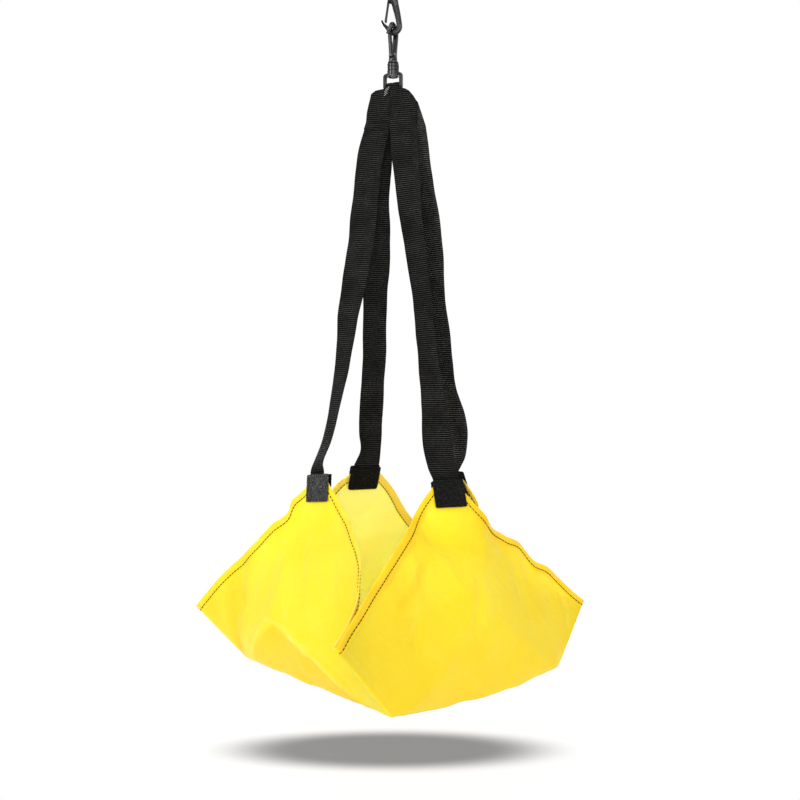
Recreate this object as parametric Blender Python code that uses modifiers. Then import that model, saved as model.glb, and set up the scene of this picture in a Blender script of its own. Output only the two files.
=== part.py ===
"""Swim parachute: a square drag cloth on four webbing straps, gathered at a plastic swivel snap hook.

It hangs as it does when it is held up by its hook. The origin is on the inner face of the upper
eye's bar, where a tether bears. X runs to the right, Y to the rear and Z up. All sizes are in metres.
"""

import math

import bmesh
import bpy
from mathutils import Matrix, Vector

# Clearance between pieces that touch
GAP = 0.0003

# Snap hook, its heights measured from the centre of its eye bar towards the crook
EYE_INSIDE = 0.0125
EYE_LEG = 0.0031
EYE_DEPTH = 0.0042
EYE_EDGE = 0.0012
BAR_HEIGHT = 0.0038
WINDOW_HEIGHT = 0.0074
SHOULDER_HEIGHT = 0.0034
BARREL_RADIUS = 0.0056
BARREL_LENGTH = 0.0109
GROOVE_DEPTH = 0.0005
STEM_RADIUS = 0.0029
SNAP_RADIUS = 0.0040
SNAP_LENGTH = 0.0031
STEM_SLOT = 0.0010
FLANGE_RADIUS = 0.0051
FLANGE_HEIGHT = 0.0022
SHANK_RADIUS = 0.0040
HOOK_REACH = 0.0369  # from the flange to the crook's outer end
HOOK_DEPTH = 0.0048
CROOK_DEPTH = 0.0043
CROOK_INSIDE = 0.0033
SQUARENESS = 2.2  # 2 makes the hook's sections round, and more makes them squarer
CROOK_BODY = 0.0062
SPINE_BODY = 0.0052
ROOT_WIDTH = 0.0104  # of the shank where the tongue leaves it
NOSE_TURN = math.radians(140)
NOSE_BODY = 0.0045
NOSE_LENGTH = 0.0101
GATE_THICKNESS = 0.0024
GATE_DEPTH = 0.0038
GATE_PIVOT_RADIUS = 0.0014
GATE_TRAVEL = math.radians(13)
GATE_OVERLAP = 0.0009  # how far the tongue's tip reaches past the lip

# The nose beyond the crook: the share of its length, how far it lies inside its straight line, and
# its half width. It ends in a lip that the tongue's tip rests behind.
NOSE = (
    (0.30, -0.0002, 0.00182),
    (0.62, -0.0004, 0.00122),
    (0.80, -0.0002, 0.00110),
    (0.92, 0.0003, 0.00118),
    (1.00, 0.0007, 0.00078),
)

# How the hooks hang
UPPER_HOOK_TURN = math.radians(-6)
LOWER_HOOK_TURN = math.radians(64)
LOWER_EYE_TURN = math.radians(-20)

# Webbing
WEBBING = 0.0250
WEBBING_THICKNESS = 0.0014
GATHERED = 0.0056  # width of a strap where it passes over the bar
SPREAD_START = 0.0017  # how far below the bar's centre the gathered straps start to spread
TAIL_LENGTH = 0.0380
PAIR_GAP = 0.0007  # between the left and the right pair
PAIR_SHIFT = -0.0028  # how far the pairs meet beside the hook's axis
FAN_OUT = 0.0078  # how far the rear right strap has moved out from behind its tail

# Cloth
CANOPY_SIDE = 0.420
CLOTH = 0.0008
HEM = 0.0013
HEM_WIDTH = 0.0095
FOLD_RADIUS = 0.0015
EAR_CREASE = 0.0741  # from the hem to where the floor of the basket starts
PATCH_WIDTH = 0.0300
PATCH_HEIGHT = 0.0246
PATCH_THICKNESS = 0.0009
APEX_RISE = 0.0200  # from the patch's centre to the cloth's square corner
CORNER_CUT = 0.0090  # how much of that corner is folded away behind the patch
CORNER_ANGLE = math.radians(41)  # from the middle of the corner to each of its hems
FLOOR_STEPS = 6
WALL_STEPS = 4

# Where the cloth hangs, below and around the origin. A corner has the centre of its patches, the
# direction that its outside faces, and its lean from upright.
CORNERS = {
    "front_left": ((-0.0678, -0.0255, -0.4690), 217, 8),
    "rear_left": ((-0.0286, 0.0415, -0.4686), 112, 27),
    "rear_right": ((0.0575, -0.0030, -0.4690), 35, 22),
    "front_right": ((0.0496, -0.0354, -0.4752), 292, 21),
}
EARS = {
    "left": (-0.1898, 0.0475, -0.5935),
    "front": (-0.0353, -0.1818, -0.5738),
    "right": (0.1846, 0.0504, -0.5899),
    "rear": (0.0870, 0.1419, -0.5889),
}
FLOOR_CORNERS = {
    "left": (-0.1315, 0.0073, -0.6314),
    "front": (0.0001, -0.1374, -0.6330),
    "right": (0.1454, -0.0062, -0.6340),
    "rear": (0.0212, 0.1268, -0.6239),
}
FLOOR_MIDDLE = (0.0062, -0.0039, -0.6558)

# Each panel lies between two ears, and hangs from the corner between them.
PANELS = {
    "front_left": ("left", "front"),
    "front_right": ("front", "right"),
    "rear_right": ("right", "rear"),
    "rear_left": ("rear", "left"),
}

# How far the edge of the floor hangs below the straight line between its two ends
RIM_SAGS = {"front_left": 0.0, "front_right": 0.0032, "rear_right": 0.0020, "rear_left": 0.0020}

# How far a hem is drawn from the straight line between its ear and its corner
HEM_BOWS = {
    ("front_left", "left"): (-0.0034, 0.0099, 0.0080),
    ("front_left", "front"): (0.0479, 0.0020, 0.0036),
    ("front_right", "front"): (-0.0110, 0.0004, 0.0064),
    ("front_right", "right"): (-0.0271, 0.0077, 0.0159),
    ("rear_right", "right"): (-0.0419, 0.0016, -0.0188),
    ("rear_right", "rear"): (-0.0027, 0.0001, -0.0005),
    ("rear_left", "rear"): (-0.0090, -0.0008, -0.0084),
    ("rear_left", "left"): (-0.0017, 0.0, 0.0016),
}

# The crest of the fold in the front left panel: how far across the panel, and its distance from the
# floor's middle as a share of the panel's side
CREST = ((0.0, 0.655), (0.10, 0.68), (0.26, 0.87), (0.42, 1.09), (0.54, 0.95), (0.64, 0.81), (1.0, 0.655))
CREST_RISE = 0.011

# A strap's free part, from the tails to its patches: the share of its length, how far it leaves the
# straight line to the right, and the turn of its face in degrees
STRAP_SHAPES = {
    "front_left": (
        (0.06, -0.0020, -15),
        (0.12, -0.0017, -20),
        (0.30, 0.0018, -18),
        (0.42, 0.0024, -25),
        (0.52, 0.0017, -37),
        (0.60, 0.0026, -49),
        (0.69, 0.0034, -57),
        (0.78, 0.0025, -64),
        (0.87, 0.0016, -67),
        (0.93, -0.0014, -67),
    ),
    "rear_left": (
        (0.08, 0.0020, -8),
        (0.19, 0.0008, 5),
        (0.35, 0.0044, 18),
        (0.48, 0.0044, 28),
        (0.62, 0.0056, 32),
        (0.72, 0.0048, 33),
        (0.81, 0.0046, 30),
        (0.87, 0.0046, 34),
        (0.92, 0.0055, 42),
    ),
    "rear_right": (
        (0.06, 0.0080, -20),
        (0.12, 0.0080, -30),
        (0.22, 0.0095, -36),
        (0.33, 0.0094, -38),
        (0.48, 0.0054, -40),
        (0.61, 0.0042, -42),
        (0.73, 0.0036, -44),
        (0.80, 0.0074, -44),
        (0.86, 0.0080, -48),
        (0.92, 0.0046, -54),
    ),
    "front_right": (
        (0.07, -0.0016, -17),
        (0.13, -0.0020, -22),
        (0.23, -0.0032, -36),
        (0.36, -0.0032, -46),
        (0.48, -0.0024, -50),
        (0.60, -0.0036, -50),
        (0.71, -0.0040, -42),
        (0.81, -0.0045, -20),
        (0.87, -0.0050, -2),
        (0.93, -0.0036, 14),
    ),
}
STACK_TURN = math.radians(-12)  # the pairs' turn where their free parts start

# Heights in the hook's own frame
BAR_TOP = BAR_HEIGHT / 2
WINDOW_TOP = BAR_TOP + WINDOW_HEIGHT
BARREL_TOP = WINDOW_TOP + BARREL_LENGTH
FLANGE_BOTTOM = BARREL_TOP + GAP
FLANGE_TOP = FLANGE_BOTTOM + FLANGE_HEIGHT
HOOK_END = FLANGE_TOP + HOOK_REACH
CROOK_CENTRE = HOOK_END - CROOK_BODY - CROOK_INSIDE
CROOK_AXIS = HOOK_END - CROOK_BODY / 2
NECK_BOTTOM = WINDOW_TOP + SNAP_LENGTH + 2 * GAP
GATE_PIVOT = Vector((-0.0040, 0, FLANGE_TOP + 0.0043))
LAYER = WEBBING_THICKNESS + GAP
LOOP_RADIUS = math.hypot(EYE_DEPTH / 2 - EYE_EDGE, BAR_TOP - EYE_EDGE) + EYE_EDGE + 0.0001
LOOP_RADIUS = max(LOOP_RADIUS, EYE_DEPTH / 2 + GAP) + WEBBING_THICKNESS / 2
HALF_SIDE = CANOPY_SIDE / 2
FLOOR_SHARE = 1 - EAR_CREASE / HALF_SIDE
FLAT_REACH = APEX_RISE + PATCH_HEIGHT / 2 + 0.006  # the cloth is flat this far from its corner

PLASTIC = ("black_plastic", (0.035, 0.036, 0.036), 0.32)
BLACK_WEBBING = ("black_webbing", (0.012, 0.012, 0.012), 0.85)
BLACK_PATCH = ("black_patch", (0.016, 0.015, 0.014), 0.92)
YELLOW_CLOTH = ("yellow_cloth", (1.0, 0.72, 0.03), 0.45)


def clear_scene():
    for old in list(bpy.data.objects):
        bpy.data.objects.remove(old, do_unlink=True)


def collection(name):
    made = bpy.data.collections.new(name)
    bpy.context.scene.collection.children.link(made)
    return made


def material(name, colour, roughness):
    made = bpy.data.materials.new(name)
    made.use_nodes = True
    shader = made.node_tree.nodes["Principled BSDF"]
    shader.inputs["Base Color"].default_value = (*colour, 1)
    shader.inputs["Roughness"].default_value = roughness
    shader.inputs["Metallic"].default_value = 0
    return made


def add_object(name, mesh, group, look=None, place=None):
    made = bpy.data.objects.new(name, mesh)
    group.objects.link(made)
    if look:
        mesh.materials.append(material(f"{name}_{look[0]}", *look[1:]))
    if place:
        made.matrix_world = place
    return made


def as_cutter(made):
    made.hide_render = True
    made.display_type = "WIRE"
    return made


def cut(target, tool, operation="DIFFERENCE"):
    boolean = target.modifiers.new(f"{operation.lower()}_{tool.name}", "BOOLEAN")
    boolean.operation = operation
    boolean.solver = "EXACT"
    boolean.object = tool


def mesh_from(name, build):
    """A mesh made by the given function on an empty bmesh."""
    shape = bmesh.new()
    build(shape)
    bmesh.ops.recalc_face_normals(shape, faces=shape.faces)
    mesh = bpy.data.meshes.new(name)
    shape.to_mesh(mesh)
    shape.free()
    mesh.shade_smooth()
    mesh.set_sharp_from_angle(angle=math.radians(40))
    return mesh


def box(name, low, high, group):
    """A box between two corners."""
    low, high = Vector(low), Vector(high)

    def build(shape):
        bmesh.ops.create_cube(shape, size=1)
        bmesh.ops.scale(shape, vec=high - low, verts=shape.verts)
        bmesh.ops.translate(shape, vec=(low + high) / 2, verts=shape.verts)

    return as_cutter(add_object(name, mesh_from(name, build), group))


def prism(name, outline, depth, group):
    """An outline in X and Z, made solid along Y."""

    def build(shape):
        face = shape.faces.new([shape.verts.new((x, -depth / 2, z)) for x, z in outline])
        back = bmesh.ops.extrude_face_region(shape, geom=[face])["geom"]
        moved = [item for item in back if isinstance(item, bmesh.types.BMVert)]
        bmesh.ops.translate(shape, vec=(0, depth, 0), verts=moved)

    return as_cutter(add_object(name, mesh_from(name, build), group))


def cross_rod(name, centre, radius, length, group):
    """A cylinder along Y."""

    def build(shape):
        bmesh.ops.create_cone(
            shape, cap_ends=True, segments=20, radius1=radius, radius2=radius, depth=length
        )
        bmesh.ops.rotate(shape, matrix=Matrix.Rotation(math.pi / 2, 3, "X"), verts=shape.verts)
        bmesh.ops.translate(shape, vec=centre, verts=shape.verts)

    return as_cutter(add_object(name, mesh_from(name, build), group))


def turned(name, profile, group, steps=32):
    """A profile of (radius, height), from top to bottom, turned round Z."""
    mesh = bpy.data.meshes.new(name)
    points = [(radius, 0, height) for radius, height in profile]
    mesh.from_pydata(points, [(i, i + 1) for i in range(len(points) - 1)], [])
    made = as_cutter(add_object(name, mesh, group))
    screw = made.modifiers.new("turn", "SCREW")
    screw.steps = steps
    screw.render_steps = steps
    screw.use_merge_vertices = True
    screw.merge_threshold = 0.00002
    screw.use_smooth_shade = True
    return made


def loft(stations, sides=16):
    """Rings through stations of (centre, half width in the hook's plane, half depth), capped."""

    def build(shape):
        rings = []
        for i, (centre, half_width, half_depth) in enumerate(stations):
            before = stations[max(i - 1, 0)][0]
            after = stations[min(i + 1, len(stations) - 1)][0]
            along = (after - before).normalized()
            across = Vector((along.z, 0, -along.x))
            ring = []
            for k in range(sides):
                angle = 2 * math.pi * (k + 0.5) / sides
                x, y = math.cos(angle), math.sin(angle)
                round_off = (abs(x) ** SQUARENESS + abs(y) ** SQUARENESS) ** (-1 / SQUARENESS)
                point = centre + across * x * round_off * half_width
                ring.append(shape.verts.new(point + Vector((0, y * round_off * half_depth, 0))))
            rings.append(ring)
        for low, high in zip(rings, rings[1:]):
            for k in range(sides):
                n = (k + 1) % sides
                shape.faces.new((low[k], low[n], high[n], high[k]))
        shape.faces.new(rings[0])
        shape.faces.new(rings[-1])

    return build


def hook_stations():
    """The hook from its shank up the spine, round the crook and down the nose."""
    half_depth = HOOK_DEPTH / 2
    spine = SPINE_BODY / 2
    crook = CROOK_BODY / 2
    rise = CROOK_CENTRE - FLANGE_TOP
    spine_x = CROOK_INSIDE + spine
    knots = (
        (0.0, -0.0006, SHANK_RADIUS, SHANK_RADIUS),
        (0.0, 0.0022, SHANK_RADIUS, SHANK_RADIUS * 0.97),
        (-0.0002, 0.0042, ROOT_WIDTH / 2, SHANK_RADIUS * 0.90),
        (0.26 * spine_x, 0.0066, SHANK_RADIUS * 0.88, HOOK_DEPTH * 0.64),
        (0.40 * spine_x, 0.0100, SHANK_RADIUS * 0.80, HOOK_DEPTH * 0.54),
        (0.66 * spine_x, 0.60 * rise, SPINE_BODY * 0.57, half_depth),
        (0.87 * spine_x, 0.82 * rise, SPINE_BODY * 0.52, half_depth),
    )
    stations = [(Vector((x, 0, FLANGE_TOP + z)), width, depth) for x, z, width, depth in knots]
    turns = 12
    for i in range(turns + 1):
        angle = NOSE_TURN * i / turns
        if angle < math.pi / 2:
            half = spine + (crook - spine) * math.sin(angle)
        else:
            past = (angle - math.pi / 2) / (NOSE_TURN - math.pi / 2)
            half = crook + (NOSE_BODY / 2 - crook) * past**1.5
        radius = CROOK_INSIDE + half
        centre = Vector((radius * math.cos(angle), 0, CROOK_CENTRE + radius * math.sin(angle)))
        depth = half_depth + (CROOK_DEPTH / 2 - half_depth) * min(angle / math.radians(60), 1)
        stations.append((centre, half, depth))
    end = stations[-1][0]
    way = Vector((-math.sin(NOSE_TURN), 0, math.cos(NOSE_TURN)))
    inwards = Vector((-way.z, 0, way.x))
    for share, curl, width in NOSE:
        centre = end + way * NOSE_LENGTH * share + inwards * curl
        stations.append((centre, width, CROOK_DEPTH / 2 * (1 - 0.2 * share)))
    return stations


def gate_line():
    """The tongue's root, and its tip behind the nose's lip."""
    lip, half, _ = hook_stations()[-2]
    beside = half + 2.4 * GAP + GATE_THICKNESS / 2
    return GATE_PIVOT, lip + Vector((beside, 0, GATE_OVERLAP))


def gate_place():
    """The tongue's frame in the hook: its origin on the hinge line and Z along the closed tongue."""
    root, tip = gate_line()
    lean = math.atan2(tip.x - root.x, tip.z - root.z)
    return Matrix.Translation(root) @ Matrix.Rotation(lean, 4, "Y")


def gate_room():
    """The outline of the notch that the tongue's root turns in."""
    radius = GATE_PIVOT_RADIUS + GAP
    left = GATE_THICKNESS / 2 + GAP
    height = 0.0062
    right = left + 0.0001 + height * math.tan(GATE_TRAVEL)
    start = math.pi - math.acos(left / radius)
    arc = [start + (2 * math.pi - start) * i / 12 for i in range(13)]
    outline = [(-left, height)]
    outline += [(radius * math.cos(angle), radius * math.sin(angle)) for angle in arc]
    return outline + [(right, height)]


def make_hook(name, place, group, cutters):
    body = add_object(name, mesh_from(name, loft(hook_stations())), group, PLASTIC, place)
    head = SNAP_RADIUS
    past = SNAP_LENGTH / 3  # how far the slot's cutter reaches past the stem's end
    profile = (
        (0, FLANGE_TOP),
        (FLANGE_RADIUS - 0.0006, FLANGE_TOP),
        (FLANGE_RADIUS, FLANGE_TOP - 0.0006),
        (FLANGE_RADIUS, FLANGE_BOTTOM + 0.0004),
        (FLANGE_RADIUS - 0.0004, FLANGE_BOTTOM),
        (STEM_RADIUS, FLANGE_BOTTOM),
        (STEM_RADIUS, NECK_BOTTOM - GAP),
        (head, NECK_BOTTOM - GAP),
        (head, NECK_BOTTOM - GAP - 0.0009),
        (head * 0.72, WINDOW_TOP + GAP),
        (0, WINDOW_TOP + GAP),
    )
    stem = turned(f"{name}_stem", profile, cutters)
    stem.matrix_world = place
    cut(body, stem, "UNION")
    slot = box(
        f"{name}_slot",
        (-STEM_SLOT / 2, -head - past, WINDOW_TOP - past),
        (STEM_SLOT / 2, head + past, BARREL_TOP - SNAP_LENGTH),
        cutters,
    )
    slot.matrix_world = place
    cut(body, slot)
    room = prism(f"{name}_gate_room", gate_room(), GATE_DEPTH + 2 * GAP, cutters)
    room.matrix_world = place @ gate_place()
    cut(body, room)
    return body


def make_gate(name, place, group, cutters):
    """The tongue, its origin on its hinge line."""
    root, tip = gate_line()
    way = (tip - root).normalized()
    length = (tip - root).length
    stations = []
    for share in (0.02, 0.15, 0.3, 0.5, 0.7, 0.88, 0.97, 1.0):
        thick = GATE_THICKNESS / 2 * (1.0 - 0.12 * math.sin(math.pi * share))
        thick *= 0.55 if share == 1.0 else 1
        depth = GATE_DEPTH / 2 * (1 if share < 0.9 else 0.92 if share < 1 else 0.75)
        stations.append((way * length * share, thick, depth))
    made = add_object(
        name, mesh_from(name, loft(stations, sides=12)), group, PLASTIC, place @ Matrix.Translation(root)
    )
    knuckle = cross_rod(f"{name}_knuckle", Vector(), GATE_PIVOT_RADIUS, GATE_DEPTH, cutters)
    knuckle.matrix_world = place @ Matrix.Translation(root)
    cut(made, knuckle, "UNION")
    return made


def rounded(points, radius, steps=3):
    """A closed outline whose corners are arcs."""
    outline = []
    for i, here in enumerate(points):
        here = Vector(here)
        back = (Vector(points[i - 1]) - here).normalized()
        on = (Vector(points[(i + 1) % len(points)]) - here).normalized()
        for k in range(steps + 1):
            t = k / steps
            outline.append(here + back * radius * (1 - t) ** 2 + on * radius * t**2)
    return outline


def make_eye(name, place, group, cutters):
    """The frame that the webbing passes through, with the barrel that the hook turns in."""
    inner = EYE_INSIDE / 2
    outer = inner + EYE_LEG
    top = WINDOW_TOP + SHOULDER_HEIGHT
    outside = rounded(
        ((-outer, -BAR_TOP), (outer, -BAR_TOP), (outer, top - 0.0014), (BARREL_RADIUS * 0.8, top + 0.0008),
         (-BARREL_RADIUS * 0.8, top + 0.0008), (-outer, top - 0.0014)), 0.0018)
    window = rounded(
        ((-inner, BAR_TOP), (inner, BAR_TOP), (inner, WINDOW_TOP), (0.3 * inner, WINDOW_TOP),
         (-0.3 * inner, WINDOW_TOP), (-inner, WINDOW_TOP)), 0.0009)

    def build(shape):
        loops = []
        for outline in (outside, window):
            verts = [shape.verts.new((p.x, -EYE_DEPTH / 2, p.y)) for p in outline]
            loops += [shape.edges.new((verts[i - 1], verts[i])) for i in range(len(verts))]
        ring = bmesh.ops.bridge_loops(shape, edges=loops)["faces"]
        back = bmesh.ops.extrude_face_region(shape, geom=ring)["geom"]
        moved = [item for item in back if isinstance(item, bmesh.types.BMVert)]
        bmesh.ops.translate(shape, vec=(0, EYE_DEPTH, 0), verts=moved)

    frame = add_object(name, mesh_from(name, build), group, PLASTIC, place)
    bevel = frame.modifiers.new("edges", "BEVEL")
    bevel.width = EYE_EDGE
    bevel.segments = 3
    bevel.limit_method = "ANGLE"
    bevel.angle_limit = math.radians(60)
    groove = GROOVE_DEPTH
    profile = [(0, BARREL_TOP), (BARREL_RADIUS - 0.0004, BARREL_TOP), (BARREL_RADIUS, BARREL_TOP - 0.0004)]
    for level in (0.72, 0.42):
        height = WINDOW_TOP + BARREL_LENGTH * level
        profile += [
            (BARREL_RADIUS, height + 0.0005),
            (BARREL_RADIUS - groove, height + 0.0002),
            (BARREL_RADIUS - groove, height - 0.0002),
            (BARREL_RADIUS, height - 0.0005),
        ]
    profile += [(BARREL_RADIUS, WINDOW_TOP), (0, WINDOW_TOP)]
    barrel = turned(f"{name}_barrel", profile, cutters)
    barrel.matrix_world = place
    cut(frame, barrel, "UNION")
    bore = turned(
        f"{name}_bore",
        (
            (0, BARREL_TOP + 0.001),
            (STEM_RADIUS + GAP, BARREL_TOP + 0.001),
            (STEM_RADIUS + GAP, NECK_BOTTOM),
            (SNAP_RADIUS + GAP, NECK_BOTTOM),
            (SNAP_RADIUS + GAP, WINDOW_TOP - 0.001),
            (0, WINDOW_TOP - 0.001),
        ),
        cutters,
    )
    bore.matrix_world = place
    cut(frame, bore)
    return frame


def strip(name, stations, group):
    """Webbing through stations of (centre, direction across, width), with its real thickness."""

    def build(shape):
        columns = 2
        rows = []
        for centre, across, width in stations:
            rows.append(
                [shape.verts.new(centre + across * width * (k / columns - 0.5)) for k in range(columns + 1)]
            )
        for low, high in zip(rows, rows[1:]):
            for k in range(columns):
                shape.faces.new((low[k], low[k + 1], high[k + 1], high[k]))

    made = add_object(name, mesh_from(name, build), group, BLACK_WEBBING)
    solid = made.modifiers.new("thickness", "SOLIDIFY")
    solid.thickness = WEBBING_THICKNESS
    solid.offset = 0
    solid.use_even_offset = True
    solid.use_quality_normals = True
    return made


def turn_vector(angle):
    """The direction across a strap whose face is turned by an angle from the front."""
    return Vector((math.cos(angle), math.sin(angle), 0))


def blend(low, high, share):
    share = min(max(share, 0), 1)
    return low + (high - low) * share


# Width of the gathered straps at depths below the bar's centre. They stay inside the eye's legs down
# to where the legs end, so that the harness can swing.
LEFT_WIDTHS = (
    (SPREAD_START, GATHERED),
    (SPREAD_START + 0.0016, 0.0132),
    (0.0057, 0.0152),
    (0.0158, 0.0190),
    (0.0230, 0.0211),
    (0.0315, 0.0218),
    (0.0380, 0.0240),
    (0.0420, WEBBING),
)
RIGHT_WIDTHS = (
    (SPREAD_START, GATHERED),
    (SPREAD_START + 0.0016, 0.0172),
    (0.0048, 0.0190),
    (0.0094, 0.0220),
    (0.0160, WEBBING),
)


def pair_width(side, depth):
    """A strap's width at a depth below the bar's centre: gathered there and full below."""
    knots = LEFT_WIDTHS if side < 0 else RIGHT_WIDTHS
    if depth <= knots[0][0]:
        return GATHERED
    for (low, a), (high, b) in zip(knots, knots[1:]):
        if depth <= high:
            return blend(a, b, (depth - low) / (high - low))
    return WEBBING


def pair_place(side, layer, depth, bar, fan=0):
    """Centre, direction across and width of one layer of a gathered pair. side is -1 or 1, and
    layer is how far the layer lies behind the pair's middle."""
    turn = blend(LOWER_EYE_TURN, STACK_TURN, (depth - 0.003) / 0.020)
    across = turn_vector(turn)
    behind = Vector((-across.y, across.x, 0))
    width = pair_width(side, depth)
    middle = PAIR_SHIFT * blend(0, 1, (depth - SPREAD_START) / 0.0030)
    middle += fan * blend(0, 1, (depth - 0.014) / 0.024)
    centre = bar + across * (middle + side * (PAIR_GAP / 2 + width / 2)) + behind * layer
    centre.z = bar.z - depth
    return centre, across, width


def over_the_bar(side, bar):
    """Stations of a strap from below the bar at the rear, over it and down to the tail's end."""
    join = BAR_TOP + 0.0062
    lean = math.asin(LOOP_RADIUS / math.hypot(LAYER, join)) - math.atan2(LAYER, join)
    rear = [(LAYER, depth) for depth in (TAIL_LENGTH, 0.030, 0.022, 0.016, 0.012, join)]
    reach = math.hypot(LAYER, join)
    down = math.sqrt(max(reach**2 - LOOP_RADIUS**2, 0))
    narrow = (join - SPREAD_START) / (down * math.cos(lean))
    for share in (0.4 * narrow, 0.75 * narrow, narrow):
        y = LAYER + (LOOP_RADIUS * math.cos(lean) - LAYER) * share
        rear.append((y, join - down * math.cos(lean) * share))
    steps = 10
    arc = []
    for i in range(steps + 1):
        angle = -lean + (math.pi + 2 * lean) * i / steps
        arc.append((LOOP_RADIUS * math.cos(angle), -LOOP_RADIUS * math.sin(angle)))
    front = [(-y, depth) for y, depth in reversed(rear)]
    return [pair_place(side, y, depth, bar) for y, depth in rear + arc + front]


def corner_frame(corner):
    """The patches' centre, and the directions across, down and out of the cloth's corner."""
    centre, facing, lean = CORNERS[corner]
    facing, lean = math.radians(facing), math.radians(lean)
    flat = Vector((math.cos(facing), math.sin(facing), 0))
    out = flat * math.cos(lean) + Vector((0, 0, math.sin(lean)))
    down = flat * math.sin(lean) - Vector((0, 0, math.cos(lean)))
    return Vector(centre), down.cross(out).normalized(), down, out


def apex(corner):
    centre, _, down, _ = corner_frame(corner)
    return centre - down * APEX_RISE


def strap_turn_at_patch(corner):
    """The turn of the patches, as the strap's face is turned."""
    _, across, _, _ = corner_frame(corner)
    angle = math.atan2(across.y, across.x)
    while angle > math.pi / 2:
        angle -= math.pi
    while angle < -math.pi / 2:
        angle += math.pi
    return angle


def strap_inset():
    """How far a strap's middle lies inside the cloth's middle."""
    return HEM / 2 + GAP + WEBBING_THICKNESS / 2


def free_stations(corner, top, start):
    """A strap from below its pair down to its end between the patches. top is where its straight
    line starts, and start is the last station of its gathered part."""
    centre, _, down, out = corner_frame(corner)
    lip = centre - down * (PATCH_HEIGHT / 2 + 0.002) - out * strap_inset()
    end_turn = strap_turn_at_patch(corner)
    knots = [(0, start[0], STACK_TURN, start[2])]
    for share, right, turn in STRAP_SHAPES[corner]:
        place = top.lerp(centre, share) + Vector((right, 0, 0))
        knots.append((share, place, math.radians(turn), WEBBING))
    share = (top.z - lip.z) / (top.z - centre.z)
    knots.append((share, lip, end_turn, WEBBING))
    stations = []
    count = 38
    for i in range(1, count + 1):
        share = knots[-1][0] * i / count
        values = [smooth_at(knots, kind, share) for kind in (1, 2, 3)]
        stations.append((values[0], turn_vector(values[1]), values[2]))
    across = turn_vector(end_turn)
    for below in (0.003, PATCH_HEIGHT * 0.55, PATCH_HEIGHT - 0.002):
        stations.append((lip + down * below, across, WEBBING))
    return stations


def smooth_at(knots, kind, share):
    """A value on the smooth curve through unevenly spaced knots, whose first entry is the share."""
    last = len(knots) - 1
    i = max(k for k in range(last) if knots[k][0] <= share + 1e-9)
    t = (share - knots[i][0]) / (knots[i + 1][0] - knots[i][0])
    slopes = []
    for k in (i, i + 1):
        low, high = max(k - 1, 0), min(k + 1, last)
        slopes.append((knots[high][kind] - knots[low][kind]) / (knots[high][0] - knots[low][0]))
    span = knots[i + 1][0] - knots[i][0]
    return (
        knots[i][kind] * (2 * t**3 - 3 * t**2 + 1)
        + knots[i + 1][kind] * (3 * t**2 - 2 * t**3)
        + slopes[0] * span * (t**3 - 2 * t**2 + t)
        + slopes[1] * span * (t**3 - t**2)
    )


def make_strap(corner, bar, group):
    name = f"strap_{corner}"
    side = -1 if corner.endswith("left") else 1
    if corner in ("rear_left", "front_right"):
        stations = over_the_bar(side, bar)
        if corner == "rear_left":
            stations.reverse()
        top = stations[-1][0]
    else:
        depths = (BAR_TOP + 0.0030, 0.007, 0.010, 0.013, 0.016, 0.022, 0.028, 0.034, TAIL_LENGTH)
        fan = FAN_OUT if side > 0 else 0
        stations = [pair_place(side, 0, depth, bar, fan) for depth in depths]
        top = pair_place(side, 0, TAIL_LENGTH, bar)[0]
    strip(name, stations + free_stations(corner, top, stations[-1]), group)


def make_patches(corner, group):
    """A square of fabric on each side of the cloth's corner."""
    centre, across, down, out = corner_frame(corner)
    outside = HEM / 2 + GAP + PATCH_THICKNESS / 2
    inside = HEM / 2 + WEBBING_THICKNESS + 2 * GAP + PATCH_THICKNESS / 2
    turn = Matrix((across, down, out)).transposed().to_4x4()
    for kind, offset in (("outer", outside), ("inner", -inside)):
        name = f"patch_{kind}_{corner}"

        def build(shape):
            bmesh.ops.create_cube(shape, size=1)
            size = Vector((PATCH_WIDTH, PATCH_HEIGHT, PATCH_THICKNESS))
            bmesh.ops.scale(shape, vec=size, verts=shape.verts)
            bmesh.ops.bevel(
                shape, geom=list(shape.edges), offset=PATCH_THICKNESS * 0.3, segments=1, affect="EDGES"
            )

        place = Matrix.Translation(centre + out * offset) @ turn
        add_object(name, mesh_from(name, build), group, BLACK_PATCH, place)


def bend_points(points, share):
    """A cubic curve through its four control points."""
    a, b, c, d = points
    s = 1 - share
    return a * s**3 + b * 3 * s**2 * share + c * 3 * s * share**2 + d * share**3


def level(vector):
    return Vector((vector.x, vector.y, 0)).normalized()


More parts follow.
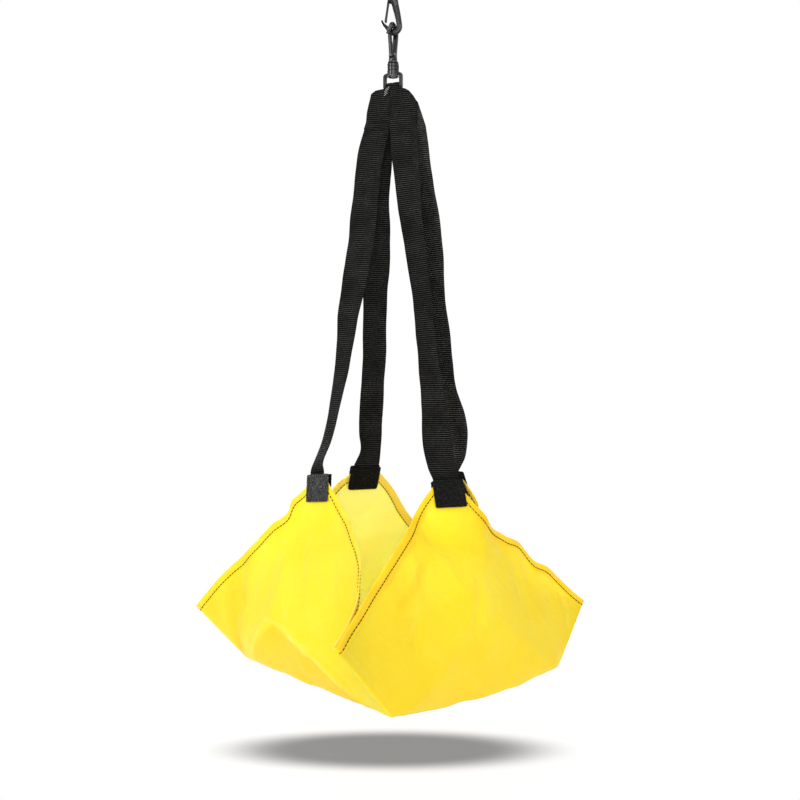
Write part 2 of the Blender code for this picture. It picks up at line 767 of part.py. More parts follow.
class Panel:
    """A quarter of the cloth, from the middle of the floor to one corner. u runs from the floor's
    middle towards the first ear and v towards the second, and the corner is at (1, 1)."""

    def __init__(self, corner):
        self.corner = corner
        self.ears = PANELS[corner]
        self.centre, self.across, self.down, self.out = corner_frame(corner)
        self.apex = apex(corner)
        middle = Vector(FLOOR_MIDDLE)
        ways = [level(Vector(EARS[ear]) - middle) for ear in self.ears]
        sides = [level(ways[1 - i] - ways[i] * ways[1 - i].dot(ways[i])) for i in (0, 1)]
        self.creases = [self.crease(ear, sides[i], ways[0] + ways[1]) for i, ear in enumerate(self.ears)]
        self.along_hem = [self.hem_way(i) for i in (0, 1)]
        self.outward = level(ways[0] + ways[1])

    def crease(self, ear, side, both):
        """The line from the floor's middle to the ear, set off by the fold's radius."""
        floor = Vector(FLOOR_CORNERS[ear])
        tip = Vector(EARS[ear])
        middle = Vector(FLOOR_MIDDLE)
        bend = FLOOR_SHARE
        soft = 0.05

        def point(t):
            if t < bend - soft:
                base = middle.lerp(floor, t / bend)
            elif t > bend + soft:
                base = floor.lerp(tip, (t - bend) / (1 - bend))
            else:
                a = middle.lerp(floor, (bend - soft) / bend)
                c = floor.lerp(tip, soft / (1 - bend))
                s = (t - bend + soft) / (2 * soft)
                base = a * (1 - s) ** 2 + floor * 2 * s * (1 - s) + c * s**2
            return base + (both.lerp(side, min(t / 0.3, 1))) * FOLD_RADIUS

        return point

    def hem_way(self, i):
        """The hem's direction as it leaves the corner towards one of the ears."""
        way = Vector(EARS[self.ears[i]]) - self.apex
        sign = 1 if way.dot(self.across) > 0 else -1
        return self.across * sign * math.sin(CORNER_ANGLE) + self.down * math.cos(CORNER_ANGLE)

    def hem(self, i, share):
        """The hem from ear i to the corner."""
        tip = self.creases[i](1)
        bow = Vector(HEM_BOWS[self.corner, self.ears[i]])
        start = self.apex + self.along_hem[i] * 0.058
        return bend_points((tip, tip.lerp(self.apex, 0.36) + bow, start, self.apex), share)

    def hung(self, u, v):
        """The cloth between its creases and its hems, as if it were one smooth sheet."""
        first, second = self.creases
        flat = first(0) * (1 - u) * (1 - v) + first(1) * u * (1 - v)
        flat += second(1) * (1 - u) * v + self.apex * u * v
        sides = first(u) * (1 - v) + self.hem(1, u) * v + second(v) * (1 - u) + self.hem(0, v) * u
        return sides - flat

    def fold(self, u, v):
        """How far the fold lifts the cloth outwards."""
        reach = u + v
        if self.corner != "front_left" or reach <= FLOOR_SHARE:
            return 0
        across = v / reach
        crest = CREST[-1][1]
        for (low, a), (high, b) in zip(CREST, CREST[1:]):
            if low <= across <= high:
                crest = blend(a, b, (across - low) / (high - low))
        rise = CREST_RISE * (crest - FLOOR_SHARE) / (1.09 - FLOOR_SHARE)
        if reach < crest:
            return rise * (reach - FLOOR_SHARE) / (crest - FLOOR_SHARE)
        share = max(0, 1 - (reach - crest) / 0.40)
        return rise * share * share * (3 - 2 * share)

    def surface(self, u, v):
        """The cloth's middle at a place on the panel."""
        point = self.hung(u, v)
        reach = u + v
        if reach > 0:
            t = v / reach
            edge = self.hung(FLOOR_SHARE * (1 - t), FLOOR_SHARE * t)
            straight = self.creases[0](FLOOR_SHARE).lerp(self.creases[1](FLOOR_SHARE), t)
            if reach <= FLOOR_SHARE:
                pull = reach / FLOOR_SHARE
            else:
                longest = 1 / max(t, 1 - t)
                pull = (longest - reach) / (longest - FLOOR_SHARE)
            point = point + (straight - edge) * pull
            sag = RIM_SAGS[self.corner] * 4 * t * (1 - t)
            point.z -= sag * max(0, 1 - abs(reach - FLOOR_SHARE) / 0.35)
        point = point + self.outward * self.fold(u, v)
        hems = self.along_hem
        on_plane = self.apex + (hems[0] * (1 - v) + hems[1] * (1 - u)) * HALF_SIDE
        away = math.hypot(1 - u, 1 - v) * HALF_SIDE
        share = min(max((away - FLAT_REACH) / 0.05, 0), 1)
        return on_plane.lerp(point, share * share * (3 - 2 * share))


def grid_shares():
    """Where the cloth's grid lines lie on a panel, from the crease to the hem's edge."""
    floor = [FLOOR_SHARE * i / FLOOR_STEPS for i in range(FLOOR_STEPS + 1)]
    hem = 1 - HEM_WIDTH / HALF_SIDE
    wall = [FLOOR_SHARE + (hem - FLOOR_SHARE) * i / WALL_STEPS for i in range(1, WALL_STEPS + 1)]
    return floor + wall + [1]


def make_canopy(group):
    panels = {corner: Panel(corner) for corner in PANELS}
    shares = grid_shares()
    count = len(shares)
    # The four panels in one square grid, whose first axis runs from the left ear to the right one
    # and whose second runs from the front ear to the rear one
    quarters = {
        (-1, -1): "front_left",
        (1, -1): "front_right",
        (1, 1): "rear_right",
        (-1, 1): "rear_left",
    }
    steps = list(range(-count, 0)) + list(range(1, count + 1))
    cut_share = CORNER_CUT / math.cos(CORNER_ANGLE) / HALF_SIDE

    def place(i, j):
        panel = panels[quarters[(1 if i > 0 else -1, 1 if j > 0 else -1)]]
        a, b = shares[abs(i) - 1], shares[abs(j) - 1]
        if a == 1 and b == 1:
            a = b = 1 - cut_share / 2
        elif a == 1:
            b = min(b, 1 - cut_share)
        elif b == 1:
            a = min(a, 1 - cut_share)
        sideways = panel.ears[0] in ("left", "right")
        u, v = (a, b) if sideways else (b, a)
        return panel.surface(u, v)

    def build(shape):
        thick = shape.verts.layers.deform.new()
        grid = []
        for j in steps:
            row = []
            for i in steps:
                vert = shape.verts.new(place(i, j))
                at_hem = max(abs(i), abs(j)) >= count - 1
                vert[thick][0] = 1.0 if at_hem else 0.0
                row.append(vert)
            grid.append(row)
        for low, high, j in zip(grid, grid[1:], steps):
            for k, i in enumerate(steps[:-1]):
                a, b, c, d = low[k], low[k + 1], high[k + 1], high[k]
                if i == -1 or j == -1:
                    shape.faces.new((a, b, c, d))
                elif (i > 0) == (j > 0):
                    shape.faces.new((a, b, d))
                    shape.faces.new((b, c, d))
                else:
                    shape.faces.new((a, b, c))
                    shape.faces.new((a, c, d))

    made = add_object("canopy", mesh_from("canopy", build), group, YELLOW_CLOTH)
    made.vertex_groups.new(name="hem")
    solid = made.modifiers.new("thickness", "SOLIDIFY")
    solid.thickness = HEM
    solid.offset = 0
    solid.vertex_group = "hem"
    solid.thickness_vertex_group = CLOTH / HEM
    return made


def main():
    clear_scene()
    parts = collection("swim_parachute")
    cutters = collection("cutters")
    held = Matrix.Translation((0, 0, BAR_TOP)) @ Matrix.Rotation(math.pi, 4, "X")
    upper = held @ Matrix.Rotation(-UPPER_HOOK_TURN, 4, "Z")
    hang = BAR_TOP - CROOK_AXIS + CROOK_BODY + GAP
    lower_base = Matrix.Translation((0, 0, hang - CROOK_AXIS))
    lower = lower_base @ Matrix.Rotation(LOWER_HOOK_TURN, 4, "Z")
    lower_eye = lower_base @ Matrix.Rotation(LOWER_EYE_TURN, 4, "Z")
    bar = lower_base.translation
    make_eye("upper_eye", held, parts, cutters)
    make_hook("upper_hook", upper, parts, cutters)
    make_gate("upper_gate", upper, parts, cutters)
    make_hook("lower_hook", lower, parts, cutters)
    make_gate("lower_gate", lower, parts, cutters)
    make_eye("lower_eye", lower_eye, parts, cutters)
    for corner in CORNERS:
        make_strap(corner, bar, parts)
        make_patches(corner, parts)
    make_canopy(parts)


main()
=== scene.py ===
"""The looks of the swim parachute: hemmed cloth, ribbed webbing, sewn patches, thread and moulded plastic."""

import math

import bmesh
import bpy
import numpy as np
from mathutils import Matrix, Vector, noise


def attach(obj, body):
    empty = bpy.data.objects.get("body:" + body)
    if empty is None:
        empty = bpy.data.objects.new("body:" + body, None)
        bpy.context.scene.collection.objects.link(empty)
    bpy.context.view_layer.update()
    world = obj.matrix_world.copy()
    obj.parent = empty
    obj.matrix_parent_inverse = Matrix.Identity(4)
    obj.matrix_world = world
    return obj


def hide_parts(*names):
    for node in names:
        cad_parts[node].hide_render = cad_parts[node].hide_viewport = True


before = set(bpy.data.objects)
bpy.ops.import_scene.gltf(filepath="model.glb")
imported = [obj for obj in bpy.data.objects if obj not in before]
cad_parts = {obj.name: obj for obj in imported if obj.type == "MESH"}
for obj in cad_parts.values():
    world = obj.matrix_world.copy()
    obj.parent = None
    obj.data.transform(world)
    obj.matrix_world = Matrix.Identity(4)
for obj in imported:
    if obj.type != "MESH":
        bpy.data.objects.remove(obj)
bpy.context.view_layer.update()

HARNESS = "harness"

# Sizes that the solids have too
GAP = 0.0003
BAR = Vector((0, 0, -0.1046))
BAR_TOP = 0.0019
EYE_DEPTH = 0.0042
EYE_EDGE = 0.0012
LOWER_EYE_TURN = math.radians(-20)
WEBBING = 0.025
WEBBING_THICKNESS = 0.0014
GATHERED = 0.0056
SPREAD_START = 0.0017
TAIL_LENGTH = 0.038
PAIR_GAP = 0.0007
PAIR_SHIFT = -0.0028
FAN_OUT = 0.0078
CANOPY_SIDE = 0.42
HEM = 0.0013
FOLD_RADIUS = 0.0015
EAR_CREASE = 0.0741
PATCH_WIDTH = 0.03
PATCH_HEIGHT = 0.0246
PATCH_THICKNESS = 0.0009
APEX_RISE = 0.02
CORNER_CUT = 0.009
CORNER_ANGLE = math.radians(41)
LAYER = WEBBING_THICKNESS + GAP
BAR_REACH = math.hypot(EYE_DEPTH / 2 - EYE_EDGE, BAR_TOP - EYE_EDGE) + EYE_EDGE + 0.0001
LOOP_RADIUS = max(BAR_REACH, EYE_DEPTH / 2 + GAP) + WEBBING_THICKNESS / 2
HALF_SIDE = CANOPY_SIDE / 2
FLOOR_SHARE = 1 - EAR_CREASE / HALF_SIDE
FLAT_REACH = APEX_RISE + PATCH_HEIGHT / 2 + 0.006
STACK_TURN = math.radians(-12)
# From the cloth's middle layer out to the middle of each patch
PATCH_PLACES = {
    "outer": HEM / 2 + GAP + PATCH_THICKNESS / 2,
    "inner": -(HEM / 2 + WEBBING_THICKNESS + 2 * GAP + PATCH_THICKNESS / 2),
}

# Finer sizes
RIB_PITCH = 0.0019
RIB_HEIGHT = 0.0003
YARN_PITCH = 0.001
EDGE_BULGE = 0.0003
THREAD = 0.0008
THIN_THREAD = 0.0004
STITCH = 0.0036
CLOTH_HALF = 0.0003
HEM_HALF = 0.00062
HEM_WIDTH = 0.008
# The cloth's outermost strip is thinner: its width, and the share of the thickness left at the very edge
HEM_EDGE = 0.0008
EDGE_LEFT = 0.35
SEAM_DENT = 0.00022
SEAM_DENT_WIDTH = 0.001
# How far each side's seam lies from its edge: the axis across it, and which end of that axis
SEAM_INSETS = {(0, -1): 0.0064, (0, 1): 0.0056, (1, -1): 0.005, (1, 1): 0.0068}
# The side whose left half shows the seam's looser face, with longer stitches and gaps
LOOSE_SEAM = (1, -1)
LOOSE_STITCH = 0.004
LOOSE_GAP = 0.0015
# How far a seam runs on past the one it crosses
SEAM_OVERRUN = 0.0015

# Each corner's place, the way it faces, how far it leans back, and its roll
CORNERS = {
    "front_left": ((-0.0663, -0.0255, -0.471), 224, 8, 6),
    "rear_left": ((-0.0286, 0.0415, -0.467), 112, 27, 0),
    "rear_right": ((0.0575, -0.003, -0.469), 35, 22, 0),
    "front_right": ((0.0496, -0.0354, -0.4752), 292, 21, 0),
}
# Where the middle of each side of the square stands out, and where the floor bends up to it
EARS = {
    "left": (-0.191, 0.0475, -0.5918),
    "front": (-0.0398, -0.1818, -0.5681),
    "right": (0.1846, 0.0504, -0.5877),
    "rear": (0.087, 0.1419, -0.5889),
}
FLOOR_CORNERS = {
    "left": (-0.133, 0.0073, -0.6325),
    "front": (0.0001, -0.1374, -0.6343),
    "right": (0.149, -0.0062, -0.6368),
    "rear": (0.0212, 0.1268, -0.6239),
}
FLOOR_MIDDLE = (0.0062, -0.0039, -0.6558)
# The two ears beside each corner
PANELS = {
    "front_left": ("left", "front"),
    "front_right": ("front", "right"),
    "rear_right": ("right", "rear"),
    "rear_left": ("rear", "left"),
}
# How far the floor's edge sags on each panel
RIM_SAGS = {"front_left": 0.0006, "front_right": 0.0069, "rear_right": 0.002, "rear_left": 0.002}
# How far each hem is pulled away from the line between its ear and its corner
HEM_BOWS = {
    ("front_left", "left"): (-0.0034, 0.0099, 0.008),
    ("front_left", "front"): (0.0479, 0.002, 0.0036),
    ("front_right", "front"): (-0.0024, 0.0004, 0.0009),
    ("front_right", "right"): (-0.0271, 0.0077, 0.0159),
    ("rear_right", "right"): (-0.0419, 0.0016, -0.0188),
    ("rear_right", "rear"): (-0.0027, 0.0001, -0.0005),
    ("rear_left", "rear"): (-0.009, -0.0008, -0.0084),
    ("rear_left", "left"): (-0.0017, 0.0, 0.0016),
}
# The crest of the front left fold, as (share across, sum of shares), and how far it stands out
CREST = ((0.0, 0.655), (0.1, 0.68), (0.26, 0.87), (0.42, 1.09), (0.54, 0.95), (0.64, 0.81), (1.0, 0.655))
CREST_RISE = 0.014
# The strap whose end is narrower than the rest and lies off the patch's middle
LIP_WIDTHS = {"front_left": 0.0185}
LIP_SHIFTS = {"front_left": 0.0045}
# The bends of each free strap, as (share of the way down, shift to the right, turn in degrees)
STRAP_SHAPES = {
    "front_left": (
        (0.06, -0.002, -15), (0.12, -0.0017, -20), (0.3, 0.0018, -18), (0.42, 0.0024, -25),
        (0.52, 0.0017, -37), (0.6, 0.0026, -49), (0.69, 0.0034, -57), (0.78, 0.0025, -64),
        (0.87, 0.0006, -67), (0.93, -0.0036, -67),
    ),
    "rear_left": (
        (0.08, 0.002, -8), (0.19, 0.0008, 5), (0.35, 0.0044, 18), (0.48, 0.0044, 28),
        (0.62, 0.0056, 32), (0.72, 0.0048, 33), (0.81, 0.0046, 30), (0.87, 0.0046, 34), (0.92, 0.0055, 42),
    ),
    "rear_right": (
        (0.06, 0.008, -20), (0.12, 0.008, -30), (0.22, 0.0095, -36), (0.33, 0.0094, -38),
        (0.48, 0.0054, -40), (0.61, 0.0042, -42), (0.73, 0.0036, -44), (0.8, 0.0074, -44),
        (0.86, 0.008, -48), (0.92, 0.0046, -54),
    ),
    "front_right": (
        (0.07, -0.0016, -17), (0.13, -0.002, -22), (0.23, -0.0032, -36), (0.36, -0.0032, -46),
        (0.48, -0.0024, -50), (0.6, -0.0036, -50), (0.71, -0.004, -42), (0.81, -0.0045, -20),
        (0.87, -0.005, -2), (0.93, -0.0036, 14),
    ),
}
# How wide the left and the right straps are, as (depth below the bar, width)
LEFT_WIDTHS = (
    (SPREAD_START, GATHERED), (SPREAD_START + 0.0008, 0.015), (0.0057, 0.0176), (0.0158, 0.0198),
    (0.023, 0.0211), (0.0315, 0.0218), (0.038, 0.024), (0.042, WEBBING),
)
RIGHT_WIDTHS = (
    (SPREAD_START, GATHERED), (SPREAD_START + 0.002, 0.014), (0.0056, 0.018), (0.0094, 0.0212),
    (0.016, WEBBING),
)


def clamp(value):
    return min(max(value, 0.0), 1.0)


def smooth(value):
    value = clamp(value)
    return value * value * (3 - 2 * value)


def mix(low, high, share):
    return low + (high - low) * clamp(share)


def hump(place, middle, width):
    """A round hump, 1 high at its middle."""
    return math.exp(-(((place - middle) / width) ** 2))


def on_knots(knots, place):
    """The value at one place, on straight lines between knots of (place, value)."""
    return float(np.interp(place, *zip(*knots)))


def unit(ways):
    """Directions of length 1 from an array that holds x, y and z last."""
    return ways / np.maximum(np.linalg.norm(ways, axis=-1, keepdims=True), 1e-12)


# Materials


class Nodes:
    """Short ways to add nodes to the tree of a material or a world."""

    def __init__(self, owner):
        self.owner = owner
        owner.use_nodes = True
        self.tree = owner.node_tree

    def put(self, socket, value):
        """Links a socket to the output that gives its value, or sets a plain value."""
        if isinstance(value, bpy.types.NodeSocket):
            self.tree.links.new(value, socket)
        elif socket.type == "RGBA":
            socket.default_value = (*value, 1)
        else:
            socket.default_value = value

    def add(self, kind, inputs=None, **settings):
        made = self.tree.nodes.new(kind)
        for key, value in settings.items():
            setattr(made, key, value)
        for key, value in (inputs or {}).items():
            self.put(made.inputs[key], value)
        return made

    def shade(self, **values):
        """Sets inputs of the material's own shader by their names."""
        for name, value in values.items():
            self.put(self.tree.nodes["Principled BSDF"].inputs[name.replace("_", " ")], value)

    def math(self, operation, first, second=0.0, clamped=False):
        made = self.add("ShaderNodeMath", {0: first, 1: second}, operation=operation, use_clamp=clamped)
        return made.outputs[0]

    def noise(self, place, scale, detail=3, roughness=0.55, output="Fac"):
        inputs = {"Vector": place, "Scale": scale, "Detail": detail, "Roughness": roughness}
        return self.add("ShaderNodeTexNoise", inputs).outputs[output]

    def spread(self, value, low, high, to_low=0.0, to_high=1.0, curve="LINEAR"):
        inputs = {0: value, 1: low, 2: high, 3: to_low, 4: to_high}
        return self.add("ShaderNodeMapRange", inputs, interpolation_type=curve).outputs["Result"]

    def colours(self, share, first, second):
        return self.add("ShaderNodeMix", {0: share, 6: first, 7: second}, data_type="RGBA").outputs[2]

    def bump(self, height, strength, distance, before=None):
        inputs = {"Height": height, "Strength": strength, "Distance": distance}
        if before is not None:
            inputs["Normal"] = before
        return self.add("ShaderNodeBump", inputs).outputs["Normal"]

    def attribute(self, name):
        return self.add("ShaderNodeAttribute", attribute_name=name).outputs["Fac"]

    def place(self):
        return self.add("ShaderNodeTexCoord").outputs["Object"]


def plastic_material():
    nodes = Nodes(bpy.data.materials.new("moulded_plastic"))
    place = nodes.place()
    cloud = nodes.spread(nodes.noise(place, 160, 4), 0.3, 0.7)
    nodes.shade(
        Base_Color=nodes.colours(cloud, (0.0015, 0.0016, 0.0016), (0.006, 0.0062, 0.0064)),
        Roughness=nodes.spread(nodes.noise(place, 900), 0.3, 0.7, 0.12, 0.22),
        Normal=nodes.bump(nodes.noise(place, 380, 2), 0.13, 0.0004),
        Specular_IOR_Level=0.36,
    )
    return nodes.owner


def webbing_material(name, dark, light):
    """Cross ribs, with fine lengthwise yarns on them; each rib's crest is painted lighter, from the dark
    colour to the light one, as a painted highlight. The map holds metres across and along.
    """
    nodes = Nodes(bpy.data.materials.new(name))
    uv = nodes.add("ShaderNodeUVMap", uv_map="webbing").outputs["UV"]
    across, along = nodes.add("ShaderNodeSeparateXYZ", {0: uv}).outputs[:2]
    wave = nodes.math("COSINE", nodes.math("MULTIPLY", along, 2 * math.pi / RIB_PITCH))
    yarn = nodes.math("COSINE", nodes.math("MULTIPLY", across, 2 * math.pi / YARN_PITCH))
    stretched = nodes.add("ShaderNodeMapping", {"Vector": uv, "Scale": (1, 2.4, 1)}).outputs["Vector"]
    blotch = nodes.spread(nodes.noise(stretched, 420), 0.3, 0.7, 0.35, 1.0)
    rib_highlight = nodes.math("MULTIPLY", nodes.spread(wave, 0.35, 1.0), blotch)
    # uneven wear, which also varies how strong the ribs' painted highlight is
    wear_and_highlight = nodes.spread(nodes.noise(uv, 46), 0.35, 0.65, 0.45, 1.0)
    nodes.shade(
        Base_Color=nodes.colours(nodes.math("MULTIPLY", rib_highlight, wear_and_highlight), dark, light),
        Roughness=0.8,
        Specular_IOR_Level=0.07,
        Normal=nodes.bump(yarn, 0.35, 0.0001),
    )
    return nodes.owner


def patch_material(name, dark, light):
    nodes = Nodes(bpy.data.materials.new(name))
    place = nodes.place()
    speck = nodes.noise(place, 800, 2, 0.6)
    cloud = nodes.spread(nodes.noise(place, 130), 0.2, 0.8, 0.5, 1.0)
    share = nodes.math("MULTIPLY", nodes.spread(speck, 0.42, 0.68), cloud)
    nodes.shade(
        Base_Color=nodes.colours(share, dark, light),
        Roughness=0.92,
        Specular_IOR_Level=0.06,
        Sheen_Weight=0.05,
        Sheen_Roughness=0.5,
        Normal=nodes.bump(speck, 0.7, 0.0004),
    )
    return nodes.owner


def thread_material(name, colour):
    nodes = Nodes(bpy.data.materials.new(name))
    twist = nodes.noise(nodes.place(), 2600, 2)
    darker = tuple(part * 0.45 for part in colour)
    nodes.shade(
        Base_Color=nodes.colours(twist, darker, colour),
        Roughness=0.7,
        Specular_IOR_Level=0.05,
        Normal=nodes.bump(twist, 0.4, 0.0001),
    )
    return nodes.owner


def packing_lines(nodes, place):
    """Fine creases from packing, as thin lines between cells."""
    bend = nodes.noise(place, 34, 3, 0.5, "Color")
    bent = nodes.add("ShaderNodeVectorMath", {0: bend, 1: (0.022,) * 3, 2: place}, operation="MULTIPLY_ADD")
    inputs = {"Vector": bent.outputs[0], "Scale": 27}
    cells = nodes.add("ShaderNodeTexVoronoi", inputs, feature="DISTANCE_TO_EDGE")
    line = nodes.spread(cells.outputs["Distance"], 0.0, 0.045, 1.0, 0.0)
    return nodes.math("MULTIPLY", line, nodes.spread(nodes.noise(place, 16, 2), 0.42, 0.62))


def cloth_material():
    """Coated nylon: deeper at the hem; paler inside, from its paler coated side and from painted light
    shining through; paler along its creases, from wear and a painted highlight; deeper where shade is
    painted.
    """
    nodes = Nodes(bpy.data.materials.new("yellow_cloth"))
    place = nodes.place()
    cloud = nodes.spread(nodes.noise(place, 22, 4, 0.6), 0.35, 0.65)
    outer = nodes.colours(cloud, (1.0, 0.67, 0.012), (1.0, 0.735, 0.03))
    # the inside is paler: its coated side is paler, and painted light stands in for light shining through the
    # cloth
    inner = nodes.colours(cloud, (1.0, 0.92, 0.34), (1.0, 0.95, 0.42))
    colour = nodes.colours(nodes.attribute("inside"), outer, inner)
    # painted shade: a deeper orange yellow where the cloth is folded under or turns away from the light
    colour = nodes.colours(nodes.attribute("painted_shade"), colour, (1.0, 0.5, 0.003))
    colour = nodes.colours(nodes.math("MULTIPLY", nodes.attribute("hem"), 0.65), colour, (1.0, 0.56, 0.004))
    line = packing_lines(nodes, place)
    broken = nodes.spread(nodes.noise(place, 240), 0.36, 0.6, 0.25, 0.62)
    crease = nodes.math("MULTIPLY", nodes.attribute("crease"), broken)
    # pale creases and fine packing lines: wear, and a painted highlight along their crests
    wear_and_highlight = nodes.math("MAXIMUM", nodes.math("MULTIPLY", line, 0.07), crease, clamped=True)
    crumpled = nodes.bump(nodes.noise(place, 70, 5, 0.6), 0.75, 0.0022)
    lined = nodes.bump(line, 0.14, 0.0006, crumpled)
    nodes.shade(
        Base_Color=nodes.colours(wear_and_highlight, colour, (1.0, 0.88, 0.2)),
        Roughness=nodes.spread(nodes.noise(place, 60), 0.3, 0.7, 0.36, 0.5),
        Normal=nodes.bump(nodes.noise(place, 1100, 2), 0.18, 0.0002, lined),
        Specular_IOR_Level=0.22,
        Subsurface_Weight=0.55,
        Subsurface_Scale=0.004,
        Subsurface_Radius=(1.0, 0.8, 0.15),
    )
    return nodes.owner


# Meshes


def mesh_object(name, points, faces, material):
    mesh = bpy.data.meshes.new(name)
    mesh.from_pydata([tuple(point) for point in points], [], faces)
    mesh.validate()
    mesh.materials.append(material)
    made = bpy.data.objects.new(name, mesh)
    bpy.context.scene.collection.objects.link(made)
    return made


def closed_mesh(name, points, faces, material):
    """A mesh with smooth shading, whose faces are turned outwards."""
    made = mesh_object(name, points, faces, material)
    made.data.shade_smooth()
    shape = bmesh.new()
    shape.from_mesh(made.data)
    bmesh.ops.recalc_face_normals(shape, faces=shape.faces)
    shape.to_mesh(made.data)
    shape.free()
    return made


def tube_faces(count, sides):
    """Faces between rings of points that lie one after the other, with a face at each end."""
    faces = []
    for i in range(count - 1):
        for k in range(sides):
            n = (k + 1) % sides
            faces.append((i * sides + k, i * sides + n, (i + 1) * sides + n, (i + 1) * sides + k))
    faces.append(tuple(range(sides))[::-1])
    faces.append(tuple((count - 1) * sides + k for k in range(sides)))
    return faces


def sheet_faces(rows, columns):
    """Faces of a sheet: the grid of one side's points, the same for the other side, and the rim between."""
    faces = []
    base = rows * columns
    for i in range(rows - 1):
        for j in range(columns - 1):
            a = i * columns + j
            b = a + columns
            faces.append((a, b, b + 1, a + 1))
            faces.append((base + a + 1, base + b + 1, base + b, base + a))
    ring = [i * columns for i in range(rows)]
    ring += [(rows - 1) * columns + j for j in range(1, columns)]
    ring += [i * columns + columns - 1 for i in range(rows - 2, -1, -1)]
    ring += list(range(columns - 2, 0, -1))
    for a, b in zip(ring, ring[1:] + ring[:1]):
        faces.append((b, a, base + a, base + b))
    return faces


def corner_frame(corner):
    """The patches' centre, and the directions across, down and out of the cloth's corner."""
    centre, *angles = CORNERS[corner]
    facing, lean, roll = (math.radians(angle) for angle in angles)
    flat = Vector((math.cos(facing), math.sin(facing), 0))
    out = flat * math.cos(lean) + Vector((0, 0, math.sin(lean)))
    down = flat * math.sin(lean) - Vector((0, 0, math.cos(lean)))
    across = down.cross(out).normalized()
    rolled = across * math.cos(roll) + down * math.sin(roll)
    return Vector(centre), rolled, down * math.cos(roll) - across * math.sin(roll), out


def bend_points(points, share):
    a, b, c, d = points
    s = 1 - share
    return a * s**3 + b * 3 * s**2 * share + c * 3 * s * share**2 + d * share**3


def level(vector):
    return Vector((vector.x, vector.y, 0)).normalized()


# Cloth

# As shares of a crease: half its bend at the floor's edge, and where it is a full fold beside the next panel
CREASE_SOFTNESS = 0.02
CREASE_START = 0.3
# A hem's curve: how far it runs straight from the cloth's corner, and where its bow is, from the ear
HEM_STRAIGHT = 0.058
HEM_BOW_SHARE = 0.36
# The fold's highest crest, and how far the fold and the sag reach over a panel, as sums of shares
CREST_HIGHEST = max(reach for _, reach in CREST)
FOLD_REACH = 0.4
SAG_REACH = 0.35
# Over what length beyond its flat corner the cloth takes on its hanging shape
FLAT_FADE = 0.05


def crest_reach(u, v):
    """Where the fold's crest lies on the front left panel, as a sum of shares."""
    return on_knots(CREST, v / max(u + v, 1e-9))


class Panel:
    """A quarter of the cloth, from the middle of the floor to one corner, nearly as the solid has it."""

    def __init__(self, corner):
        self.corner = corner
        self.ears = PANELS[corner]
        centre, self.across, self.down, _ = corner_frame(corner)
        self.apex = centre - self.down * APEX_RISE
        middle = Vector(FLOOR_MIDDLE)
        ways = [level(Vector(EARS[ear]) - middle) for ear in self.ears]
        sides = [level(ways[1 - i] - ways[i] * ways[1 - i].dot(ways[i])) for i in (0, 1)]
        self.creases = [self.crease(ear, sides[i], ways[0] + ways[1]) for i, ear in enumerate(self.ears)]
        self.along_hem = [self.hem_way(i) for i in (0, 1)]
        self.outward = level(ways[0] + ways[1])

    def crease(self, ear, side, both):
        """The crease from the floor's middle out to an ear, as a function of the share of its length."""
        floor = Vector(FLOOR_CORNERS[ear])
        tip = Vector(EARS[ear])
        middle = Vector(FLOOR_MIDDLE)
        bend = FLOOR_SHARE
        soft = CREASE_SOFTNESS

        def point(t):
            if t < bend - soft:
                base = middle.lerp(floor, t / bend)
            elif t > bend + soft:
                base = floor.lerp(tip, (t - bend) / (1 - bend))
            else:
                a = middle.lerp(floor, (bend - soft) / bend)
                c = floor.lerp(tip, soft / (1 - bend))
                s = (t - bend + soft) / (2 * soft)
                base = a * (1 - s) ** 2 + floor * 2 * s * (1 - s) + c * s**2
            return base + (both.lerp(side, min(t / CREASE_START, 1))) * FOLD_RADIUS

        return point

    def hem_way(self, i):
        way = Vector(EARS[self.ears[i]]) - self.apex
        sign = 1 if way.dot(self.across) > 0 else -1
        return self.across * sign * math.sin(CORNER_ANGLE) + self.down * math.cos(CORNER_ANGLE)

    def hem(self, i, share):
        tip = self.creases[i](1)
        bow = Vector(HEM_BOWS[self.corner, self.ears[i]])
        start = self.apex + self.along_hem[i] * HEM_STRAIGHT
        return bend_points((tip, tip.lerp(self.apex, HEM_BOW_SHARE) + bow, start, self.apex), share)

    def hung(self, u, v):
        """The surface that the panel's two creases and two hems span."""
        first, second = self.creases
        flat = first(0) * (1 - u) * (1 - v) + first(1) * u * (1 - v)
        flat += second(1) * (1 - u) * v + self.apex * u * v
        sides = first(u) * (1 - v) + self.hem(1, u) * v + second(v) * (1 - u) + self.hem(0, v) * u
        return sides - flat

    def fold(self, u, v):
        """How far the front left fold stands out."""
        reach = u + v
        if self.corner != "front_left" or reach <= FLOOR_SHARE:
            return 0
        crest = crest_reach(u, v)
        rise = CREST_RISE * (crest - FLOOR_SHARE) / (CREST_HIGHEST - FLOOR_SHARE)
        if reach < crest:
            return rise * (reach - FLOOR_SHARE) / (crest - FLOOR_SHARE)
        return rise * smooth(1 - (reach - crest) / FOLD_REACH)

    def surface(self, u, v):
        point = self.hung(u, v)
        reach = u + v
        if reach > 0:
            t = v / reach
            edge = self.hung(FLOOR_SHARE * (1 - t), FLOOR_SHARE * t)
            straight = self.creases[0](FLOOR_SHARE).lerp(self.creases[1](FLOOR_SHARE), t)
            if reach <= FLOOR_SHARE:
                pull = reach / FLOOR_SHARE
            else:
                longest = 1 / max(t, 1 - t)
                pull = (longest - reach) / (longest - FLOOR_SHARE)
            point = point + (straight - edge) * pull
            sag = RIM_SAGS[self.corner] * 4 * t * (1 - t)
            point.z -= sag * max(0, 1 - abs(reach - FLOOR_SHARE) / SAG_REACH)
        point = point + self.outward * self.fold(u, v)
        hems = self.along_hem
        on_plane = self.apex + (hems[0] * (1 - v) + hems[1] * (1 - u)) * HALF_SIDE
        away = math.hypot(1 - u, 1 - v) * HALF_SIDE
        return on_plane.lerp(point, smooth((away - FLAT_REACH) / FLAT_FADE))


